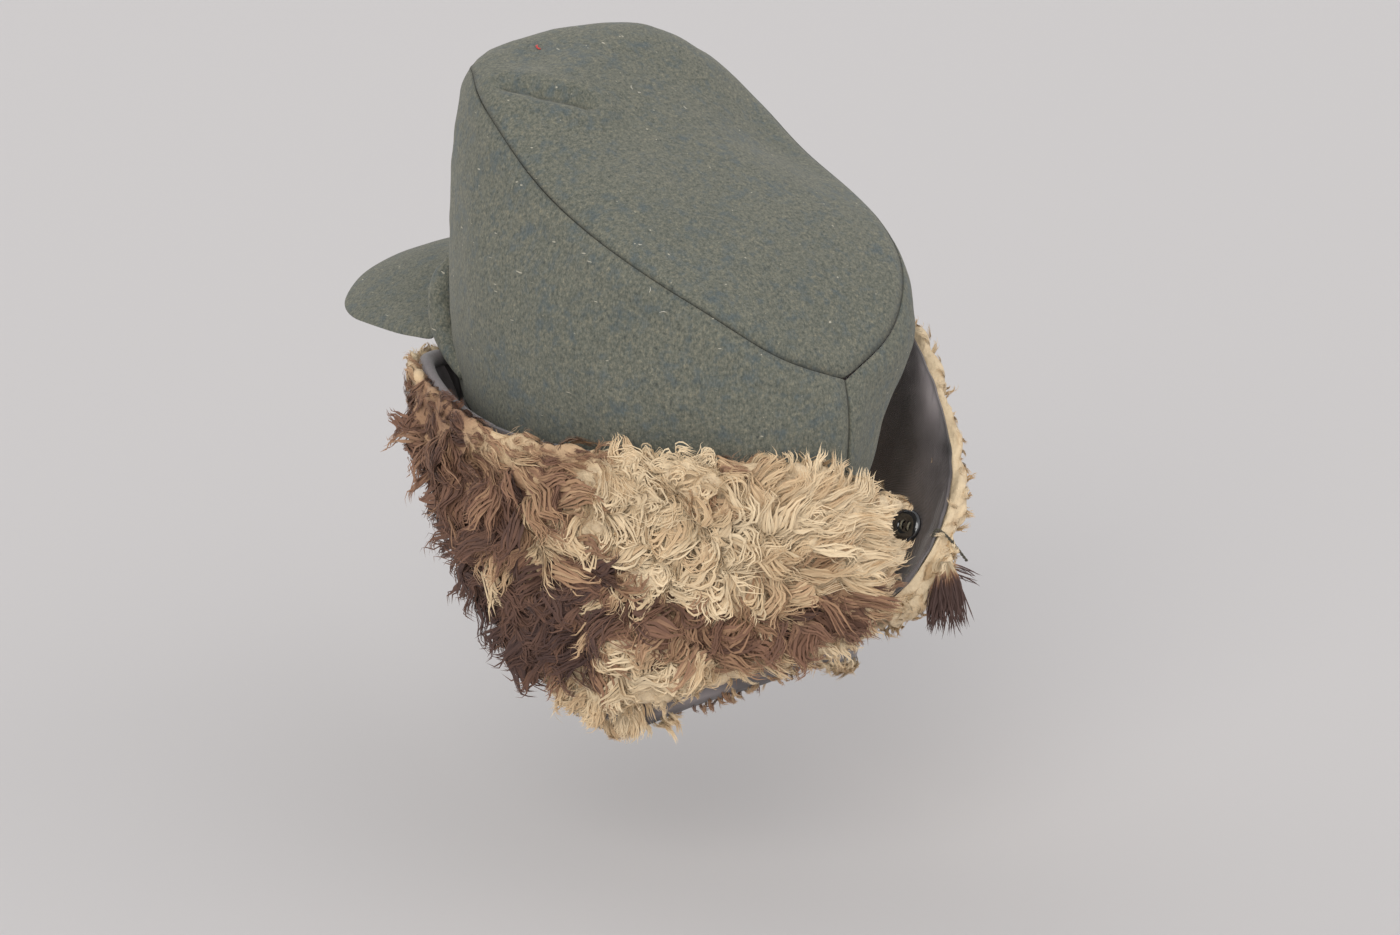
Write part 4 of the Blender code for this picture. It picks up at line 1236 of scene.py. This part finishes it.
def make_room(piece, middle, way, radius):
    """Presses a hide aside, so that the small round thing beside it shows."""
    places = points_of(piece)
    steps = places - np.array(middle)
    ahead = steps @ np.array(way)
    aside = steps - np.outer(ahead, np.array(way))
    away = np.linalg.norm(aside, axis=1) + 1e-9
    push = (away ** 3 + radius ** 3) ** (1 / 3) - away
    push[(ahead < -0.004) | (ahead > 0.12)] = 0
    move_points(piece, places + aside / away[:, None] * push[:, None])
    print(piece.name, "moves aside by up to", round(1000 * float(push.max()), 1), "mm")


bare_spot = button_place.translation
button_view = (camera.location - bare_spot).normalized()
make_room(left_hide, bare_spot, button_view, button_radius * 0.85)
for name in ("left_fleece_nape", "left_fleece_wisps", "right_fleece"):
    clear_hair(bpy.data.objects[name], bare_spot, button_view, button_radius * 0.92, 0.12)
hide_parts("button")
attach(button, "root")

# %% [markdown]
# Thread
#
# Doubled thread passes through the button's holes in two short bars and is wound round the shank. The loose end
# is a stiff stub of two plies that twist round each other. Its line is read from the model's tube: the tube's cap
# is found, and each further ring is the set of points next to the last one.

# %% Lay the threads
def centre_line(node):
    """The middle of each ring of a tube, from one end to the other."""
    work = bmesh.new()
    work.from_mesh(frame["nodes"][node].data)
    bmesh.ops.remove_doubles(work, verts=work.verts[:], dist=2e-5)
    bmesh.ops.dissolve_limit(work, angle_limit=0.03, verts=work.verts[:], edges=work.edges[:])
    ring = set(max(work.faces, key=lambda f: len(f.verts)).verts)
    seen, line = set(ring), []
    while ring:
        line.append(sum((v.co for v in ring), Vector()) / len(ring))
        ring = {e.other_vert(v) for v in ring for e in v.link_edges} - seen
        seen |= ring
    work.free()
    return line


def smooth_line(points, steps):
    """A smooth run through some points (Catmull-Rom)."""
    ends = [2 * points[0] - points[1], *points, 2 * points[-1] - points[-2]]
    line = []
    for a, b, c, d in zip(ends, ends[1:], ends[2:], ends[3:]):
        for i in range(steps):
            t = i / steps
            line.append(0.5 * (2 * b + (c - a) * t + (2 * a - 5 * b + 4 * c - d) * t * t + (3 * b - a - 3 * c + d) * t ** 3))
    return [*line, points[-1]]


def twisted(name, line, ply, turns, finish, plies=2):
    """Plies that wind round a line."""
    made = []
    for k in range(plies):
        path = []
        for i, point in enumerate(line):
            along = (line[min(i + 1, len(line) - 1)] - line[max(i - 1, 0)]).normalized()
            across = along.cross(Vector((0.3, 0.2, 0.93))).normalized()
            angle = 2 * math.pi * (k / plies + turns * i / len(line))
            path.append(point + (across * math.cos(angle) + along.cross(across) * math.sin(angle)) * ply)
        made.append(sweep(f"{name}_{k}", path, ply, finish, 7))
    return join(name, made)


tail = centre_line("thread_tail")
if tail[0].xy.length > tail[-1].xy.length:
    tail.reverse()
hem, far = tail[1], tail[-1] + Vector((0.0028, -0.0023, -0.0062))
stub_line = smooth_line([tail[0].lerp(tail[1], 0.45), hem, hem.lerp(far, 0.35) + Vector((0, 0, 0.0016)), hem.lerp(far, 0.7) + Vector((0, 0, 0.0010)), far], 14)
stub = twisted("thread_stub", stub_line, 0.00036, 8, dark_thread)
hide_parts("thread_tail")
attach(stub, "root")

bars = []
out = BUTTON_HOLES_OUT * button_radius
for side in (-1, 1):
    for level in (0, 1):
        lift = button_thick * (0.30 + 0.10 * level)
        ends = [(side * out + 0.0002 * level, -out * 0.95, 0), (side * out, -out * 0.6, lift), (side * out, out * 0.6, lift), (side * out, out * 0.95, 0)]
        line = smooth_line([button_place @ Vector(p) for p in ends], 5)
        bars.append(sweep("bar", line, 0.00034, pale_thread, 8))
bar = join("button_bars", bars)
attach(bar, "root")

shank_middle, shank_reach, _, _ = thin_axis("button_thread", (0.87, 0.1, 0.48))
shank_places = np.array([v.co for v in frame["nodes"]["button_thread"].data.vertices])
shank_axis = Vector(np.linalg.svd(shank_places - shank_places.mean(0), full_matrices=False)[2][0])
reach = np.abs((shank_places - shank_places.mean(0)) @ np.array(shank_axis)).max()
coil = []
for i in range(90):
    angle = 2 * math.pi * i / 12
    across = shank_axis.orthogonal().normalized()
    spot = shank_middle + shank_axis * reach * (2 * i / 89 - 1)
    coil.append(spot + (across * math.cos(angle) + shank_axis.cross(across) * math.sin(angle)) * 0.0010)
shank = sweep("wound_shank", coil, 0.00042, dark_thread, 8)
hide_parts("button_thread")
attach(shank, "root")
print("threads laid: stub", round(1000 * sum((b - a).length for a, b in zip(stub_line, stub_line[1:])), 1), "mm long")

# %% [markdown]
# The dark tuft
#
# At the end of the right flap a brush of dark brown hair hangs from the cream, with pale roots. Its hairs
# spring from one small spot on the hide and fan out downwards.

# %% Grow the tuft
TUFT_PLACE = Vector((-0.0694, 0.1071, -0.0529))
TUFT_LENGTH = 0.023
TUFT_SIDE = 1.0


def grow_tuft():
    chance = random.Random(5)
    skin = surface_of(right_hide)
    root, out_way, _, _ = skin.ray_cast(camera.location, TUFT_PLACE - camera.location)
    sideways = out_way.cross(Vector((0, 0, 1))).normalized()
    work = bmesh.new()
    layers = {key: work.verts.layers.float.new(key) for key in ("across", "tip", "strand", "lock", "brown")}
    for k in range(300):
        spike = k % 30 == 0
        fan = chance.choice((-0.20, -0.06, 0.10, 0.24)) + chance.gauss(0, 0.032)
        down = 0.55 if spike else 1.0
        way = (Vector((0, 0, -down)) + sideways * (TUFT_SIDE * (-1.4 if spike else fan)) + out_way * chance.uniform(0.25, 0.6)).normalized()
        start = root + sideways * (TUFT_SIDE * 0.0050 * fan + chance.gauss(0, 0.0008)) + Vector((0, 0, chance.uniform(-0.003, 0.003)))
        length = TUFT_LENGTH * chance.uniform(0.6, 1.15) * (0.62 if spike else 1.0)
        side = way.cross(out_way).normalized()
        side = Matrix.Rotation(chance.uniform(-0.7, 0.7), 3, way) @ side
        tone, hair_lock = chance.random(), chance.random()
        bend = chance.uniform(-0.12, 0.12)
        last = None
        for i in range(7):
            t = i / 6
            spot = start + way * length * t + side * bend * length * math.sin(math.pi * t) + Vector((0, 0, -1)) * 0.003 * t * t
            half = 0.00046 * (1 - 0.5 * t)
            row = [(spot, 0.5)] if i == 6 else [(spot - side * half, 0.0), (spot + side * half, 1.0)]
            points = []
            for point, across in row:
                vertex = work.verts.new(point)
                values = {"across": across, "tip": t, "strand": tone, "lock": hair_lock, "brown": min(1.3, max(0.0, 0.05 + 3.4 * (t - 0.16)))}
                for key, value in values.items():
                    vertex[layers[key]] = value
                points.append(vertex)
            if last:
                work.faces.new((last[0], last[1], *reversed(points)))
            last = points
    mesh = bpy.data.meshes.new("dark_tuft")
    work.to_mesh(mesh)
    work.free()
    mesh.shade_smooth()
    mesh.materials.append(curly_fleece)
    return link("dark_tuft", mesh)


tuft = grow_tuft()
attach(tuft, "root")

# %% [markdown]
# The folds at the temple
#
# Where the flap is turned back, its lining is tucked in behind the end of the peak, and the wool beside it
# bunches into an upright roll. The tuck is a small curved sheet from the crown to the flap, which closes the
# pocket between them; it is painted dark all over as the shade in that pocket. The roll is a soft tube that
# follows the crown's side.

# %% Fold the temple
TUCK_ANGLE = 54.0
TUCK_LOW, TUCK_HIGH = -0.004, 0.034
ROLL = ((41.5, 0.080, -0.0020, 0.0012), (43.0, 0.070, 0.0006, 0.0030), (45.0, 0.064, 0.0030, 0.0052), (47.5, 0.056, 0.0042, 0.0062), (50.0, 0.048, 0.0040, 0.0060),
        (53.0, 0.040, 0.0026, 0.0050), (58.0, 0.033, 0.0006, 0.0036), (64.0, 0.028, -0.0010, 0.0022))


def on_surface(tree, turn, height, inside=False):
    """The point of a surface that is met going out (or in) at an angle round the head and a height."""
    angle = math.radians(turn)
    way = Vector((HALF_HEAD_WIDTH * math.sin(angle), -HALF_HEAD_LENGTH * math.cos(angle), 0)).normalized()
    start = Vector((0, 0, height)) if inside else Vector((0, 0, height)) + way * 0.3
    hit = tree.ray_cast(start, way if inside else -way)[0]
    return hit, way


def fold_temple(side_piece, lining_piece, side, name):
    crown_tree, flap_tree = surface_of(side_piece), surface_of(lining_piece)
    heights = [TUCK_LOW + (TUCK_HIGH - TUCK_LOW) * k / 12 for k in range(13)]
    inner, outer = [], []
    for height in heights:
        wall, way = on_surface(crown_tree, side * TUCK_ANGLE, height)
        flap, _ = on_surface(flap_tree, side * TUCK_ANGLE, height, True)
        inner.append(wall.dot(way) - 0.0025 if wall else None)
        outer.append(flap.dot(way) + 0.0010 if flap else None)
    known_in = [(z, r) for z, r in zip(heights, inner) if r]
    known_out = [(z, r) for z, r in zip(heights, outer) if r]
    rows = []
    for height in heights:
        near = np.interp(height, *zip(*known_in))
        far = max(near + 0.003, np.interp(height, *zip(*known_out)))
        along = Vector((0, 0, 1)).cross(way) * side
        row = []
        for i in range(9):
            t = i / 8
            bulge = 0.0035 * math.sin(math.pi * t) * (1 + 0.25 * math.sin(260 * height))
            row.append(Vector((0, 0, height)) + way * (near + (far - near) * t) - along * bulge)
        rows.append(row)
    work = bmesh.new()
    grid = [[work.verts.new(p) for p in row] for row in rows]
    for low, high in zip(grid, grid[1:]):
        for a, b, c, d in zip(low, low[1:], high[1:], high):
            work.faces.new((a, b, c, d))
    mesh = bpy.data.meshes.new(name)
    work.to_mesh(mesh)
    work.free()
    mesh.shade_smooth()
    mesh.materials.append(twill)
    tuck = link(name, mesh)
    wall = tuck.modifiers.new("cloth", "SOLIDIFY")
    wall.thickness = 0.0012
    wall.offset = 0
    settle(tuck)
    # Stored as hem all over: the tuck is painted dark as the shade in the pocket.
    store(tuck, "hem", np.ones(len(tuck.data.vertices)))
    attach(tuck, "root")
    print(name, "has", len(rows), "rows")
    return crown_tree


def roll_temple(crown_tree, side, name):
    path, radii = [], []
    for turn, height, out_by, radius in ROLL:
        hit, way = on_surface(crown_tree, side * turn, height)
        if hit is not None:
            path.append(hit + way * out_by)
            radii.append(radius)
    line = smooth_line(path, 6)
    sizes = [float(np.interp(i / (len(line) - 1), np.linspace(0, 1, len(radii)), radii)) for i in range(len(line))]
    roll = sweep(name, line, sizes, field_wool, 18)
    places = points_of(roll)
    move_points(roll, places + normals_of(roll) * (0.0005 * ripple(places, 0.012, 97))[:, None])
    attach(roll, "root")


def roll_hem(lining_piece, side, name):
    """The lining's own edge, turned over in a soft roll where the flap comes forward from under the peak."""
    tree = surface_of(lining_piece)
    path, radii = [], []
    for turn, radius in HEM_ROLL:
        for step in range(70):
            hit, way = on_surface(tree, side * turn, 0.060 - 0.001 * step, True)
            if hit is not None:
                path.append(hit - way * radius * 0.25 + Vector((0, 0, -0.45 * radius)))
                radii.append(radius)
                break
    line = smooth_line(path, 6)
    sizes = [float(np.interp(i / (len(line) - 1), np.linspace(0, 1, len(radii)), radii)) for i in range(len(line))]
    roll = sweep(name, line, sizes, twill, 16)
    # Stored as edge all over: the roll is painted light.
    store(roll, "edge", np.full(len(roll.data.vertices), 1.0))
    store(roll, "hem", np.zeros(len(roll.data.vertices)))
    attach(roll, "root")
    print(name, "is", round(1000 * sum((b - a).length for a, b in zip(line, line[1:]))), "mm long")


HEM_ROLL = ((47, 0.0022), (50, 0.0032), (54, 0.0038), (59, 0.0038), (65, 0.0033), (72, 0.0026), (80, 0.0020), (88, 0.0014), (96, 0.0008))
roll_hem(left_lining, 1, "left_hem_roll")
roll_hem(right_lining, -1, "right_hem_roll")
for side, side_piece, lining_piece, word in ((1, side_left, left_lining, "left"), (-1, side_right, right_lining, "right")):
    crown_tree = fold_temple(side_piece, lining_piece, side, f"{word}_temple_tuck")
    roll_temple(crown_tree, side, f"{word}_temple_roll")

# %% [markdown]
# Lint
#
# A few pale fibres and one red one cling to the wool. Each is a short, slightly bent tube with thin ends that lies
# on the nearest point of the crown.

# %% Drop the lint
pale_lint = mix_thread("pale_lint", (0.66, 0.63, 0.54), (0.42, 0.40, 0.33))
red_fibre = mix_thread("red_fibre", (0.62, 0.050, 0.040), (0.42, 0.030, 0.028))


def lay_fibre(spot, length, turn, radius, finish):
    place, up, _, _ = wool_skin.find_nearest(Vector(spot))
    along = (Matrix.Rotation(turn, 3, up) @ up.orthogonal()).normalized()
    aside = up.cross(along)
    ends = [place + along * length * t + aside * length * 0.5 * (t * t - 0.12) + up * radius * 0.7 for t in (-0.5, -0.2, 0.1, 0.5)]
    line = smooth_line(ends, 4)
    sizes = [radius * (0.35 + 0.65 * math.sin(math.pi * i / (len(line) - 1))) for i in range(len(line))]
    return sweep("fibre", line, sizes, finish, 6)


wool_skin = surface_of(crown_top, side_left, side_right)
LINT = (
    ((0.0074, -0.0154, 0.1516), 0.0026, 0.4, 0.00020), ((0.0050, -0.0120, 0.1505), 0.0016, 2.0, 0.00024),
    ((-0.0136, -0.0041, 0.1420), 0.0022, 1.1, 0.00018), ((0.0670, 0.0789, 0.0801), 0.0030, 2.6, 0.00016),
    ((0.0682, 0.0721, 0.0882), 0.0024, 0.9, 0.00018), ((0.0617, 0.0578, 0.1033), 0.0014, 1.7, 0.00024),
)
lint = join("lint_fibres", [lay_fibre(*each, pale_lint) for each in LINT])
red = join("red_fibres", [lay_fibre((0.0253, -0.0581, 0.1646), 0.0046, turn, 0.00042, red_fibre) for turn in (0.3, 0.6)])
for piece in (lint, red):
    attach(piece, "root")
print("fibres on the wool:", len(LINT) + 2)

# %% [markdown]
# Clearing the workbench
#
# The kinds of lock and wisp were only patterns for the copies, so they and their collections are taken away.
# The dressed cap may stand proud of the model's box only by a little.

# %% Clear the workbench
for box in (lock_box, wisp_box):
    for lock in list(box.objects):
        bpy.data.objects.remove(lock)
    bpy.data.collections.remove(box)
